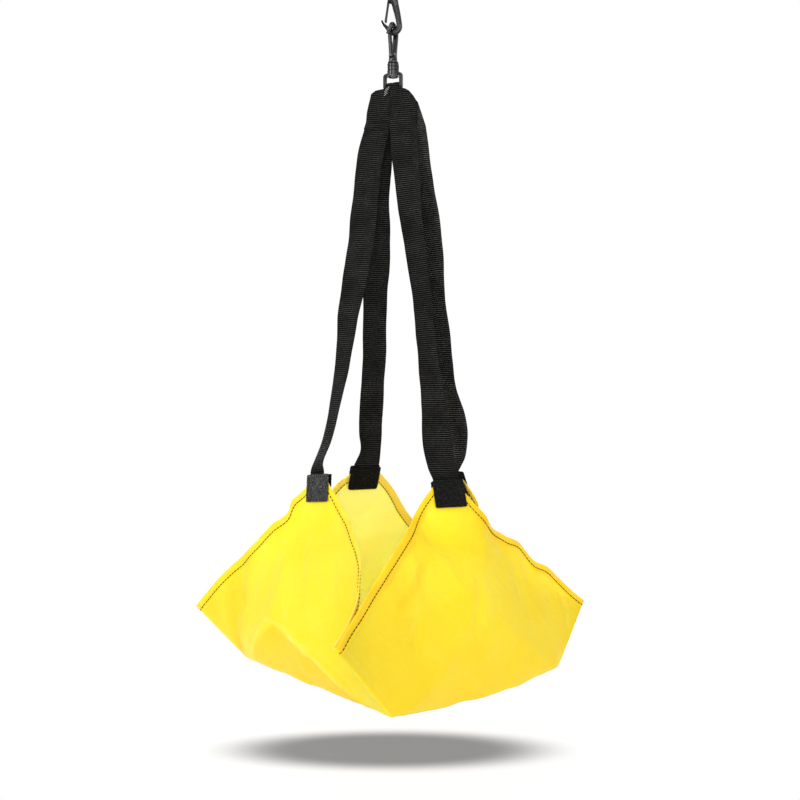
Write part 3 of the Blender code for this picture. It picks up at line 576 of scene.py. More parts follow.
# Soft wrinkles: for each panel, lines from (u, v) to (u, v), with their height and their width
WRINKLES = {
    "front_left": (
        (0.97, 0.33, 0.84, 0.23, -0.0013, 0.011), (0.84, 0.23, 0.7, 0.0, -0.0016, 0.012),
        (0.93, 0.52, 0.8, 0.4, 0.0007, 0.01), (0.76, 0.68, 0.62, 0.55, -0.0007, 0.012),
        (0.5, 0.8, 0.32, 0.66, 0.0009, 0.01), (0.58, 0.5, 0.44, 0.51, 0.0009, 0.005),
        (0.44, 0.51, 0.1, 0.59, 0.0008, 0.005), (0.45, 0.3, 0.2, 0.42, -0.0006, 0.014),
        (0.66, 0.42, 0.64, 0.23, 0.0007, 0.006),
    ),
    "front_right": (
        (0.88, 0.5, 0.79, 0.28, -0.0012, 0.01), (0.93, 0.52, 0.84, 0.4, 0.0009, 0.009),
        (0.7, 0.72, 0.62, 0.5, -0.0006, 0.006), (0.64, 0.72, 0.55, 0.52, 0.0004, 0.008),
        (0.44, 0.9, 0.22, 0.72, -0.0008, 0.013), (0.1, 0.95, 0.03, 0.84, -0.001, 0.004),
        (0.72, 0.3, 0.4, 0.34, 0.0008, 0.015), (0.55, 0.3, 0.3, 0.2, -0.0008, 0.018),
        (0.3, 0.55, 0.12, 0.45, 0.0009, 0.016), (0.9, 0.7, 0.72, 0.86, -0.0007, 0.01),
    ),
    "rear_left": (
        (0.7, 0.8, 0.52, 0.55, -0.001, 0.014), (0.55, 0.9, 0.35, 0.72, 0.001, 0.012),
        (0.8, 0.45, 0.62, 0.25, 0.0009, 0.013), (0.4, 0.5, 0.22, 0.3, -0.0008, 0.018),
    ),
    "rear_right": (
        (0.82, 0.62, 0.6, 0.48, -0.0012, 0.012), (0.6, 0.85, 0.42, 0.62, 0.001, 0.012),
        (0.88, 0.3, 0.7, 0.12, -0.0009, 0.012), (0.4, 0.3, 0.25, 0.55, 0.0008, 0.018),
    ),
}
# Pale creases, partly wear and partly a painted highlight on their crests: for each panel, lines of (u, v)
# points, with how pale they are
PALE_CREASE_LINES = {
    "front_left": (
        (((0.62, 0.07), (0.644, 0.231), (0.669, 0.419)), 0.55),
        (((0.669, 0.419), (0.631, 0.469), (0.581, 0.5)), 0.8),
        (((0.581, 0.5), (0.438, 0.512), (0.287, 0.519), (0.14, 0.56)), 1.0),
        (((0.14, 0.56), (0.0, 0.62)), 0.6), (((0.5, 0.505), (0.4, 0.56), (0.22, 0.6), (0.0, 0.66)), 0.3),
        (((0.95, 0.33), (0.84, 0.23), (0.72, 0.05)), 0.25), (((0.66, 0.42), (0.6, 0.2)), 0.2),
        (((0.02, 0.97), (0.02, 0.62)), 0.5),
    ),
    "front_right": (
        (((0.92, 0.5), (0.86, 0.4), (0.79, 0.27)), 0.22), (((0.7, 0.72), (0.67, 0.6), (0.62, 0.48)), 0.25),
        (((0.64, 0.72), (0.61, 0.58), (0.55, 0.5)), 0.18), (((0.44, 0.9), (0.34, 0.8), (0.22, 0.7)), 0.15),
        (((0.1, 0.95), (0.055, 0.9), (0.03, 0.84)), 0.5), (((0.97, 0.02), (0.62, 0.02)), 0.2),
        (((0.8, 0.52), (0.7, 0.55), (0.6, 0.53), (0.48, 0.48)), 0.15),
        (((0.72, 0.3), (0.55, 0.35), (0.4, 0.36)), 0.12),
    ),
    "rear_left": (
        (((0.7, 0.8), (0.52, 0.55), (0.4, 0.5)), 0.5), (((0.55, 0.9), (0.35, 0.72)), 0.4),
        (((0.8, 0.45), (0.62, 0.25)), 0.4),
    ),
    "rear_right": (
        (((0.82, 0.62), (0.6, 0.48), (0.44, 0.52)), 0.5), (((0.6, 0.85), (0.42, 0.62)), 0.4),
        (((0.88, 0.3), (0.7, 0.12)), 0.4),
    ),
}
CREASE_WIDTH = 0.0015
# Painted shade, a deeper yellow: for each panel, lines of (u, v) points, with how strong the painted shade is
# and how wide
PAINTED_SHADE_LINES = {
    "front_left": (
        (((0.97, 0.33), (0.84, 0.17), (0.7, 0.02)), 0.5, 0.011), (((0.98, 0.1), (0.86, 0.03)), 0.25, 0.012),
        (((0.0, 0.985), (0.34, 0.985)), 0.8, 0.005),
    ),
    "front_right": (
        (((0.55, 0.99), (0.42, 0.96), (0.32, 0.88), (0.2, 0.82), (0.1, 0.78)), 0.42, 0.013),
        (((0.985, 0.0), (0.985, 0.99)), 0.75, 0.0045), (((0.99, 0.985), (0.0, 0.985)), 0.75, 0.0045),
        (((0.9, 0.52), (0.885, 0.44), (0.88, 0.33)), 0.55, 0.006),
        (((0.72, 0.43), (0.68, 0.36), (0.64, 0.28)), 0.35, 0.007),
        (((0.7, 0.7), (0.66, 0.6), (0.62, 0.52)), 0.45, 0.004),
        (((0.32, 0.47), (0.27, 0.38), (0.24, 0.36)), 0.35, 0.009),
        (((0.95, 0.1), (0.8, 0.06), (0.6, 0.05)), 0.4, 0.014), (((0.8, 0.8), (0.66, 0.84)), 0.3, 0.012),
        (((0.45, 0.62), (0.36, 0.6)), 0.25, 0.01),
    ),
    "rear_left": ((((0.9, 0.6), (0.66, 0.5)), 0.3, 0.016),),
    "rear_right": ((((0.6, 0.9), (0.5, 0.66)), 0.3, 0.016),),
}
# How far a hem lies from the smooth curve, in the cloth's plane: humps of (place along it, shift, width)
HEM_SHIFTS = {
    ("front_left", 0): ((0.765, 0.0086, 0.078), (0.42, -0.0027, 0.28)),
    ("front_left", 1): ((0.56, -0.0022, 0.12),),
    ("front_right", 0): ((0.82, 0.0036, 0.14),),
    ("front_right", 1): (
        (0.8, -0.002, 0.1), (0.6, -0.0072, 0.09), (0.475, -0.0022, 0.045), (0.37, 0.003, 0.05),
        (0.27, -0.003, 0.045), (0.16, 0.0036, 0.07),
    ),
    ("rear_left", 0): ((0.8, 0.0025, 0.15),),
    ("rear_left", 1): ((0.83, 0.0025, 0.05),),
    ("rear_right", 0): ((0.74, -0.0085, 0.09),),
}
# Where a hem flutters: the panel, which of its hems, and humps of (place along it, height, width)
FLUTTERS = {
    ("front_right", 1): (
        (0.86, 0.0009, 0.05), (0.72, -0.0007, 0.06), (0.55, -0.001, 0.07), (0.44, 0.0012, 0.05),
        (0.25, 0.0012, 0.055), (0.13, -0.001, 0.05),
    ),
    ("front_left", 1): ((0.8, 0.001, 0.05), (0.62, -0.001, 0.06), (0.3, 0.0014, 0.06)),
    ("front_left", 0): ((0.7, -0.0012, 0.05), (0.55, 0.0008, 0.06), (0.25, -0.0008, 0.06)),
    ("rear_right", 0): ((0.75, 0.002, 0.07), (0.5, -0.002, 0.08), (0.3, 0.0022, 0.06)),
    ("rear_right", 1): ((0.7, -0.0014, 0.07), (0.4, 0.0016, 0.08)),
    ("rear_left", 0): ((0.65, 0.0012, 0.07), (0.35, -0.0014, 0.08)),
    ("rear_left", 1): ((0.6, 0.001, 0.07), (0.3, -0.001, 0.07)),
}
# The wrinkles' heights and widths above are multiplied by these
WRINKLE_RISE = 1.5
WRINKLE_WIDTH = 0.65
# How marks waver on the cloth: (waves for a panel's side, noise row, size as a share of it)
PALE_CREASE_WAVES = (9, 5.0, 0.012)
PAINTED_SHADE_WAVES = (7, 9.0, 0.03)
# How strong the painted shade is below the front left crest, what it fades over, and how strong it is on the
# front right panel
PAINTED_SHADE_UNDER_CREST = 0.5
CREST_FADE = 0.03
UPPER_PAINTED_SHADE = 0.16
LOWER_PAINTED_SHADE = 0.44
# A pale crease stands out as a ridge
CREASE_RIDGE = 0.0005
# The cloth is calm near its flat corner and beside its creases: up to where, and how wrinkles fade in
CALM_CORNER = 0.03
CALM_CORNER_FADE = 0.04
CALM_CREASE_FADE = 0.012
# How far from a hem its fluttering and its shifts fade out
FLUTTER_FADE = 0.05
SHIFT_FADE = 0.06
# Small flat facets of packed cloth: their size and how far they stand out
FACETS = ((0.052, 0.001), (0.023, 0.0004))
# The grid lines of the cloth: how many there are on a panel's plain cloth, how far beyond the hem's fold and
# how far from its edge the finer ones lie, and how many go round the fold between two panels
PLAIN_LINES = 92
HEM_LINES = (0.0004, 0.0012, 0.0028, 0.0052)
EDGE_LINES = (0.0022, 0.0008, 0.0)
BRIDGE = 3


def crumple(x, y):
    """Small flat facets with soft edges, as coated cloth has after it was packed away."""
    height = 0.0
    for size, rise in FACETS:
        bend = noise.noise(Vector((x / size * 0.5, y / size * 0.5, 3.1))) * 0.5
        near = noise.voronoi(Vector((x / size + bend, y / size - bend, 0.7)))[0]
        height += rise * (smooth((near[1] - near[0]) / 0.75) - 0.5)
    return height


def off_line(here, start, end):
    """How far a place on the flat cloth is from the line between two (u, v) points."""
    start = Vector(start) * HALF_SIDE
    way = Vector(end) * HALF_SIDE - start
    along = clamp((here - start).dot(way) / way.length_squared)
    return (here - start - way * along).length


def near_hems(u, v):
    """For each of a panel's two hems, the place along it as a share and the distance from it."""
    return (v, (1 - u) * HALF_SIDE), (u, (1 - v) * HALF_SIDE)


def on_humps(humps, share):
    return sum(rise * hump(share, middle, width) for middle, rise, width in humps)


def wrinkle(corner, u, v):
    """How far the cloth stands out of its smooth shape."""
    x, y = u * HALF_SIDE, v * HALF_SIDE
    side_x = -1 if corner.endswith("left") else 1
    side_y = -1 if corner.startswith("front") else 1
    away = math.hypot(1 - u, 1 - v) * HALF_SIDE
    calm = smooth((away - CALM_CORNER) / CALM_CORNER_FADE) * smooth(min(x, y) / CALM_CREASE_FADE)
    height = crumple(side_x * (x + 0.5), side_y * (y + 0.7))
    for *ends, rise, width in WRINKLES[corner]:
        off = off_line(Vector((x, y)), ends[:2], ends[2:])
        height += WRINKLE_RISE * rise * hump(off, 0, WRINKLE_WIDTH * width)
    for i, (share, depth) in enumerate(near_hems(u, v)):
        height += on_humps(FLUTTERS.get((corner, i), ()), share) * math.exp(-depth / FLUTTER_FADE)
    return height * calm


def hem_shift(corner, u, v):
    """How far a point near a hem moves in the cloth's plane, out over each of the two hems."""
    moves = []
    for i, (share, depth) in enumerate(near_hems(u, v)):
        moves.append(smooth(1 - depth / SHIFT_FADE) * on_humps(HEM_SHIFTS.get((corner, i), ()), share))
    return moves


def line_mark(here, line, strength, width):
    """The strength of a line of (u, v) points at one place."""
    off = min(off_line(here, start, end) for start, end in zip(line, line[1:]))
    return strength * hump(off, 0, width)


def wavering(u, v, waves, row, size):
    """A place on the flat cloth, moved a little so that the marks on it waver."""
    bend = noise.noise(Vector((u * waves, v * waves, row))) * size
    return Vector((u + bend, v - bend)) * HALF_SIDE


def pale_crease_wear_and_highlight(corner, u, v):
    """How pale the cloth is along a crease: wear, and a painted highlight on its crest."""
    here = wavering(u, v, *PALE_CREASE_WAVES)
    return max(line_mark(here, line, pale, CREASE_WIDTH) for line, pale in PALE_CREASE_LINES[corner])


def painted_shade_on_cloth(corner, u, v):
    """Painted shade: how deep the cloth's yellow is where it is folded under, below the front left crest, and
    lower down on the front right.
    """
    here = wavering(u, v, *PAINTED_SHADE_WAVES)
    painted_shade = max(line_mark(here, *mark) for mark in PAINTED_SHADE_LINES[corner])
    reach = u + v
    if corner == "front_left":
        below = smooth((crest_reach(u, v) - reach) / CREST_FADE)
        beyond = smooth((reach - FLOOR_SHARE + 0.02) / CREST_FADE)
        painted_shade = max(painted_shade, PAINTED_SHADE_UNDER_CREST * below * beyond)
    if corner == "front_right":
        painted_shade = max(painted_shade, mix(UPPER_PAINTED_SHADE, LOWER_PAINTED_SHADE, smooth((1.45 - reach) / 0.7)))
    return painted_shade


def cloth_shares():
    """Where the cloth's grid lines lie on a panel, from the crease to the hem's edge."""
    hem = 1 - HEM_WIDTH / HALF_SIDE
    lines = [hem * i / PLAIN_LINES for i in range(PLAIN_LINES + 1)]
    lines += [hem + beyond / HALF_SIDE for beyond in HEM_LINES]
    return lines + [1 - inset / HALF_SIDE for inset in EDGE_LINES]


def panel_layers(panel, shares):
    """A panel at each pair of shares: x, y and z of its middle, how pale its creases are from wear and a
    painted highlight, and how strong its painted shade is.
    """
    count = len(shares)
    cut = CORNER_CUT / math.cos(CORNER_ANGLE) / HALF_SIDE
    base = np.zeros((count, count, 3))
    moves = np.zeros((count, count, 2))
    lift, wear_and_highlight, painted_shade = np.zeros((3, count, count))
    for i, u in enumerate(shares):
        for j, v in enumerate(shares):
            folded = max(0, u + v - (2 - cut)) / 2  # the corner is folded away behind its patch
            base[i, j] = panel.surface(u - folded, v - folded)
            lift[i, j] = wrinkle(panel.corner, u, v)
            moves[i, j] = hem_shift(panel.corner, u, v)
            wear_and_highlight[i, j] = pale_crease_wear_and_highlight(panel.corner, u, v)
            painted_shade[i, j] = painted_shade_on_cloth(panel.corner, u, v)
    du, dv = np.gradient(base, axis=(0, 1))
    for k, (over, along) in enumerate(((du, dv), (dv, du))):
        along = unit(along)
        over = unit(over - along * np.sum(over * along, axis=2, keepdims=True))
        base = base + over * moves[..., k : k + 1]
    normal = unit(np.cross(du, dv))
    if normal[count // 2, count // 2] @ np.array(panel.outward) < 0:
        normal = -normal
    points = base + normal * (lift + wear_and_highlight * CREASE_RIDGE)[..., None]
    return np.concatenate([points, wear_and_highlight[..., None], painted_shade[..., None]], axis=2)


def round_fold(lines, low):
    """Fills the lines between two panels with an arc. The fold's lines come after line low."""
    high = low + BRIDGE + 1
    gap = lines[high] - lines[low]
    ends = unit(lines[low] - lines[low - 1]) + unit(lines[high] - lines[high + 1])
    bulge = ends / 2 * np.linalg.norm(gap, axis=1, keepdims=True) / 2
    for k in range(1, BRIDGE + 1):
        t = k / (BRIDGE + 1)
        lines[low + k] = lines[low] + gap * t + bulge * math.sin(math.pi * t)


def whole_cloth(shares):
    """The layers of all four panels in one square grid.

    Its first axis runs from the left ear to the right one, its second from the front ear to the rear one.
    """
    half = len(shares)
    size = 2 * half + BRIDGE
    low = np.arange(half)[::-1]
    high = np.arange(half) + half + BRIDGE
    cloth = np.zeros((size, size, 5))
    for corner, ears in PANELS.items():
        layers = panel_layers(Panel(corner), shares)
        if ears[0] not in ("left", "right"):
            layers = layers.transpose(1, 0, 2)
        first = low if corner.endswith("left") else high
        second = low if corner.startswith("front") else high
        cloth[np.ix_(first, second)] = layers
    grid = cloth[..., :3]
    round_fold(grid, half - 1)
    round_fold(grid.transpose(1, 0, 2), half - 1)
    return cloth


def hem_layers(flat):
    """Where the hem is, and half the cloth's thickness, which is less along the hem's seam."""
    from_edge = HALF_SIDE - np.maximum.outer(np.abs(flat), np.abs(flat))
    hem = (from_edge < HEM_WIDTH - 1e-6).astype(float)
    seam = np.zeros(hem.shape)
    for (axis, end), inset in SEAM_INSETS.items():
        line = np.exp(-(((HALF_SIDE - end * flat - inset) / SEAM_DENT_WIDTH) ** 2))
        seam = np.maximum(seam, line[:, None] if axis == 0 else line[None, :])
    thick = np.where(hem > 0.5, HEM_HALF - SEAM_DENT * seam, CLOTH_HALF)
    from_edge_share = np.clip(from_edge / HEM_EDGE, 0, 1)
    return hem, thick * (EDGE_LEFT + (1 - EDGE_LEFT) * np.sqrt(from_edge_share))


def make_canopy(material):
    shares = cloth_shares()
    cloth = whole_cloth(shares)
    grid, wear_and_highlight, painted_shade = cloth[..., :3], cloth[..., 3], cloth[..., 4]
    flat = np.array([-share for share in reversed(shares)] + [0.0] * BRIDGE + shares) * HALF_SIDE
    size = len(flat)
    hem, thick = hem_layers(flat)
    normal = unit(np.cross(*np.gradient(grid, axis=(0, 1))))
    if normal[size // 2, size // 2, 2] > 0:
        normal = -normal
    sides = [grid + normal * thick[..., None], grid - normal * thick[..., None]]
    made = closed_mesh("cloth", np.reshape(sides, (-1, 3)), sheet_faces(size, size), material)
    # What the material reads, on the outside and on the inside
    layers = {
        "hem": (hem * 0.55, hem),
        "inside": (np.zeros_like(hem), np.ones_like(hem)),
        "crease": (wear_and_highlight, wear_and_highlight),
        # painted shade, half as strong on the inside
        "painted_shade": (painted_shade, painted_shade * 0.5),
    }
    for name, values in layers.items():
        layer = made.data.attributes.new(name, "FLOAT", "POINT")
        layer.data.foreach_set("value", np.array(values, np.float32).ravel())
    return made, {"grid": grid, "normal": normal, "thick": thick, "flat": flat}


# Thread


def tube(points, radius, sides=6, end_share=0.45):
    """Points and faces of a round tube whose ends are drawn in."""
    verts = []
    count = len(points)
    for i, here in enumerate(points):
        way = (points[min(i + 1, count - 1)] - points[max(i - 1, 0)]).normalized()
        side = way.orthogonal().normalized()
        up = way.cross(side)
        size = radius * (end_share if i in (0, count - 1) else 1)
        for k in range(sides):
            angle = 2 * math.pi * k / sides
            verts.append(here + (side * math.cos(angle) + up * math.sin(angle)) * size)
    return verts, tube_faces(count, sides)


class Thread:
    """Many stitches in one mesh."""

    def __init__(self):
        self.verts, self.faces = [], []

    def stitch(self, start, end, out, radius=THREAD / 2, sink=0.00025, arch=0.0):
        """One stitch on a surface whose outward direction is out. Its ends sink into the surface."""
        points = []
        for k in range(5):
            t = k / 4
            dip = sink * (1 - math.sin(math.pi * (0.12 + 0.76 * t)) ** 0.5)
            points.append(start.lerp(end, t) + out * (radius * 0.6 - dip + arch * math.sin(math.pi * t)))
        verts, faces = tube(points, radius)
        base = len(self.verts)
        self.verts += verts
        self.faces += [tuple(base + i for i in face) for face in faces]

    def along(self, points, outs, stitch=STITCH, gap=0.0007, radius=THREAD / 2):
        """Stitches along a line of surface points."""
        lengths = [0.0]
        for a, b in zip(points, points[1:]):
            lengths.append(lengths[-1] + (b - a).length)

        def at(distance):
            for i in range(len(lengths) - 1):
                if distance <= lengths[i + 1]:
                    t = (distance - lengths[i]) / max(lengths[i + 1] - lengths[i], 1e-9)
                    return points[i].lerp(points[i + 1], t), outs[i].lerp(outs[i + 1], t).normalized()
            return points[-1], outs[-1]

        place = gap
        while place + stitch - gap < lengths[-1]:
            (start, out), (end, _) = at(place), at(place + stitch - gap)
            self.stitch(start, end, out, radius)
            place += stitch

    def make(self, name, material):
        made = mesh_object(name, self.verts, self.faces, material)
        made.data.shade_smooth()
        return made


def hem_thread(cloth, material):
    """The hem's seam, seen on both faces, one line along each side of the square."""
    thread = Thread()
    flat = cloth["flat"]
    for (axis, end), inset in SEAM_INSETS.items():
        line = HALF_SIDE - inset
        low = int(np.searchsorted(flat, end * line)) - 1
        share = (end * line - flat[low]) / (flat[low + 1] - flat[low])
        reached = np.abs(flat) <= line + SEAM_OVERRUN
        spots, normals, halves = (
            (lines[low] * (1 - share) + lines[low + 1] * share)[reached]
            for lines in (np.moveaxis(cloth[layer], axis, 0) for layer in ("grid", "normal", "thick"))
        )
        for face in (1, -1):
            outs = [Vector(normal).normalized() * face for normal in normals]
            points = [Vector(spot) + out * half for spot, out, half in zip(spots, outs, halves)]
            middle = len(points) // 2 if (axis, end) == LOOSE_SEAM else 0
            thread.along(points[:middle], outs[:middle], LOOSE_STITCH, LOOSE_GAP)
            thread.along(points[middle:], outs[middle:])
    return thread.make("hem_thread", material)


# Straps

# How deep below the bar the gathered pair turns, shifts and, on the right, fans out, and over what length
TURN_START = 0.003
TURN_LENGTH = 0.02
SHIFT_LENGTH = 0.003
FAN_START = 0.014
FAN_LENGTH = 0.024
# How deep below the bar's middle the layers over it join and a strap between them starts, and a tail's steps
JOIN_DEPTH = BAR_TOP + 0.0062
INNER_START = BAR_TOP + 0.003
TAIL_STEP = 0.002
# How far above the patch a strap's free length ends, and the stations of its end behind the patch
LIP_RISE = 0.002
BEHIND_PATCH = (0.003, PATCH_HEIGHT * 0.55, PATCH_HEIGHT - 0.002)
# How finely a strap is drawn: its free stations, the steps of a rib, columns, and steps that smooth its bends
FREE_STATIONS = 190
STEPS_PER_RIB = 6
STRAP_COLUMNS = 14
SMOOTHED_STEPS = 9
# Small waves of a free strap: to the side, outwards and in width, as (waves for a metre, noise row, size)
RIPPLES = ((38, 0.3, 0.001), (30, 7.3, 0.0012), (55, 4.1, 0.035))
# A strap's section: how sharp its ribs are, how much thinner its edges are and how abruptly, how much of the
# thickness is drawn, and where its brim lies on the map, as a share of half its width
RIB_SHARPNESS = 0.8
STRAP_EDGE_THINNING = 0.45
STRAP_EDGE_POWER = 12
DRAWN_THICKNESS = 0.94
BRIM_SHARE = 1.02
# The free length between the gathered top and the patch: its two ends in height, and how they fade in
FREE_TOP = BAR.z - 0.05
FREE_TOP_FADE = 0.05
FREE_END = -0.445
FREE_END_FADE = 0.02


def turn_vector(angle):
    return Vector((math.cos(angle), math.sin(angle), 0))


def pair_shift(depth):
    return PAIR_SHIFT * clamp((depth - SPREAD_START) / SHIFT_LENGTH)


def pair_place(side, layer, depth, fan=0):
    """A strap's middle at one depth below the bar, its direction across and its width."""
    turn = mix(LOWER_EYE_TURN, STACK_TURN, (depth - TURN_START) / TURN_LENGTH)
    across = turn_vector(turn)
    behind = Vector((-across.y, across.x, 0))
    width = on_knots(LEFT_WIDTHS if side < 0 else RIGHT_WIDTHS, depth)
    middle = pair_shift(depth) + fan * clamp((depth - FAN_START) / FAN_LENGTH)
    centre = BAR + across * (middle + side * (PAIR_GAP / 2 + width / 2)) + behind * layer
    centre.z = BAR.z - depth
    return centre, across, width


def over_the_bar(side):
    """The stations of a strap that goes up the rear, over the bar and down the front."""
    reach = math.hypot(LAYER, JOIN_DEPTH)
    lean = math.asin(LOOP_RADIUS / reach) - math.atan2(LAYER, JOIN_DEPTH)
    rear = [(LAYER, TAIL_LENGTH - TAIL_STEP * i) for i in range(15)] + [(LAYER, JOIN_DEPTH)]
    down = math.sqrt(reach**2 - LOOP_RADIUS**2) * math.cos(lean)
    narrow = (JOIN_DEPTH - SPREAD_START) / down
    for k in range(1, 9):
        share = narrow * k / 8
        rear.append((LAYER + (LOOP_RADIUS * math.cos(lean) - LAYER) * share, JOIN_DEPTH - down * share))
    arc = []
    for i in range(25):
        angle = -lean + (math.pi + 2 * lean) * i / 24
        arc.append((LOOP_RADIUS * math.cos(angle), -LOOP_RADIUS * math.sin(angle)))
    front = [(-y, depth) for y, depth in reversed(rear)]
    return [pair_place(side, y, depth) for y, depth in rear + arc + front]


def smooth_at(knots, kind, share):
    """A value on the smooth curve through one kind of the knots' values."""
    last = len(knots) - 1
    i = max(k for k in range(last) if knots[k][0] <= share + 1e-9)
    span = knots[i + 1][0] - knots[i][0]
    t = (share - knots[i][0]) / span
    slopes = []
    for k in (i, i + 1):
        low, high = max(k - 1, 0), min(k + 1, last)
        slopes.append((knots[high][kind] - knots[low][kind]) / (knots[high][0] - knots[low][0]))
    return (
        knots[i][kind] * (2 * t**3 - 3 * t**2 + 1)
        + knots[i + 1][kind] * (3 * t**2 - 2 * t**3)
        + slopes[0] * span * (t**3 - 2 * t**2 + t)
        + slopes[1] * span * (t**3 - t**2)
    )


def free_stations(corner, top, start):
    """The stations of a strap from the gathered top to its end between the patches."""
    centre, across, down, out = corner_frame(corner)
    inset = HEM / 2 + GAP + WEBBING_THICKNESS / 2
    lip = centre - down * (PATCH_HEIGHT / 2 + LIP_RISE) - out * inset
    lip = lip + across * LIP_SHIFTS.get(corner, 0.0)
    end_turn = (math.atan2(across.y, across.x) + math.pi / 2) % math.pi - math.pi / 2
    end_width = LIP_WIDTHS.get(corner, WEBBING)
    knots = [(0, start[0], STACK_TURN, start[2])]
    for share, right, turn in STRAP_SHAPES[corner]:
        place = top.lerp(centre, share) + Vector((right, 0, 0))
        knots.append((share, place, math.radians(turn), WEBBING))
    knots.append(((top.z - lip.z) / (top.z - centre.z), lip, end_turn, end_width))
    stations = []
    for i in range(1, FREE_STATIONS + 1):
        share = knots[-1][0] * i / FREE_STATIONS
        spot, turn, width = (smooth_at(knots, kind, share) for kind in (1, 2, 3))
        stations.append((spot, turn_vector(turn), width))
    for below in BEHIND_PATCH:
        stations.append((lip + down * below, turn_vector(end_turn), end_width))
    return stations


def strap_stations(corner):
    """A strap's stations from its start to its end: its middle, its direction across and its width."""
    side = -1 if corner.endswith("left") else 1
    if corner in ("rear_left", "front_right"):
        stations = over_the_bar(side)
        if corner == "rear_left":
            stations.reverse()
        top = stations[-1][0]
    else:
        depths = [INNER_START + (TAIL_LENGTH - INNER_START) * i / 18 for i in range(19)]
        fan = FAN_OUT if side > 0 else 0
        stations = [pair_place(side, 0, depth, fan) for depth in depths]
        top = pair_place(side, 0, TAIL_LENGTH)[0]
    return stations + free_stations(corner, top, stations[-1])


def even_stations(stations):
    """The strap at even steps: how far each lies along it, and its places, directions and widths."""
    spots, acrosses, widths = (np.array(values) for values in zip(*stations))
    steps = np.linalg.norm(np.diff(spots, axis=0), axis=1)
    run = np.concatenate([[0], np.cumsum(steps)])
    at = np.linspace(0, run[-1], int(run[-1] / RIB_PITCH * STEPS_PER_RIB) + 1)
    spots, acrosses = (
        np.stack([np.interp(at, run, column) for column in values.T], 1) for values in (spots, acrosses)
    )
    return at, spots, unit(acrosses), np.interp(at, run, widths)


def ripple(at, spots, acrosses, widths, seed):
    """Adds small waves to the free length of a strap."""
    loose = np.clip((FREE_TOP - spots[:, 2]) / FREE_TOP_FADE, 0, 1)
    loose *= np.clip((spots[:, 2] - FREE_END) / FREE_END_FADE, 0, 1)
    for k, place in enumerate(at):
        sideways, outwards, wider = (
            noise.noise(Vector((place * waves, seed, row))) * size * loose[k] for waves, row, size in RIPPLES
        )
        spots[k] += acrosses[k] * sideways
        spots[k, 1] += outwards
        widths[k] *= 1 + wider


def smooth_ways(spots):
    """The direction along a strap at each step, smoothed over a few steps."""
    kernel = np.hanning(SMOOTHED_STEPS + 2)[1:-1]
    kernel /= kernel.sum()
    beyond = SMOOTHED_STEPS // 2
    padded = np.pad(np.gradient(spots, axis=0), ((beyond, beyond), (0, 0)), mode="edge")
    return unit(np.stack([np.convolve(column, kernel, mode="valid") for column in padded.T], 1))


def make_strap(corner, material):
    """Webbing with its cross ribs, closed all round."""
    at, spots, acrosses, widths = even_stations(strap_stations(corner))
    ripple(at, spots, acrosses, widths, 3.7 * list(CORNERS).index(corner))
    outs = unit(np.cross(smooth_ways(spots), acrosses))
    ribs = np.cos(2 * np.pi * at / RIB_PITCH)
    ribs = np.sign(ribs) * np.abs(ribs) ** RIB_SHARPNESS * RIB_HEIGHT / 2
    columns = np.linspace(-1, 1, STRAP_COLUMNS + 1)
    edge = (1 - np.abs(columns) ** STRAP_EDGE_POWER * STRAP_EDGE_THINNING) * WEBBING_THICKNESS / 2
    half = (edge - RIB_HEIGHT / 2 + ribs[:, None]) * DRAWN_THICKNESS
    # A ring goes over the front, round the edge and back over the rear
    half_width = widths[:, None] / 2
    flat = columns * half_width
    brim = half_width + EDGE_BULGE
    nothing = np.zeros_like(brim)
    sideways = np.concatenate([flat, brim, flat[:, ::-1], -brim], 1)
    outwards = np.concatenate([half, nothing, -half[:, ::-1], nothing], 1)
    ring = spots[:, None] + acrosses[:, None] * sideways[..., None] + outs[:, None] * outwards[..., None]
    count, sides = sideways.shape
    made = closed_mesh(f"webbing_{corner}", ring.reshape(-1, 3), tube_faces(count, sides), material)
    place_across = np.concatenate([columns, [BRIM_SHARE], columns[::-1], [-BRIM_SHARE]]) * WEBBING / 2
    places = np.stack(np.broadcast_arrays(place_across, at[:, None]), 2).reshape(-1, 2)
    mesh = made.data
    corners = np.zeros(len(mesh.loops), np.int32)
    mesh.loops.foreach_get("vertex_index", corners)
    layer = mesh.uv_layers.new(name="webbing")
    layer.data.foreach_set("uv", places[corners].astype(np.float32).ravel())
    return made


# Patches

PATCH_COLUMNS, PATCH_ROWS = 44, 36
# A patch's edge is ragged and its face wavy: (waves for a metre, size)
RAGGED = (900, 0.00022)
WAVY = (120, 0.00015)
# The inner patch comes down beside the strap, and the outer one is slightly bowed
STRAP_EDGE = 0.0127
BESIDE_STRAP = 0.001
BESIDE_FADE = 0.002
OUTER_BOW = 0.0001
# Both are pressed down beside their left and right edges, and rounded at their corners
PRESSED = 0.00009
PRESSED_INSET = 0.0022
PRESSED_WIDTH = 0.0006
CORNER_ROUNDING = 0.0004
# By what share they are thinner at their edges, and the share of their half width from which they thin
THINNING = 0.45
THINNING_START = 0.94
# The box seam's distance from the patch's sides and from its top and bottom
BOX_INSETS = (0.003, 0.0024)
BOX_STITCH = 0.003
ABOVE_PATCH = 0.00004
# The bar tack's strokes: the depth of the first, the step to the next, and each one's ends (across, down)
TACK_START = 0.002
TACK_PITCH = 0.0018
TACK_ENDS = ((-0.0052, 0.0012), (-0.0017, -0.0014))
# The tails' rows: their depths, the first spot of each, the step to the next, and the stitch
ROW_DEPTHS = (0.0325, 0.0352)
ROW_START = 0.0018
ROW_PITCH = 0.0021
ROW_STITCH = 0.0026


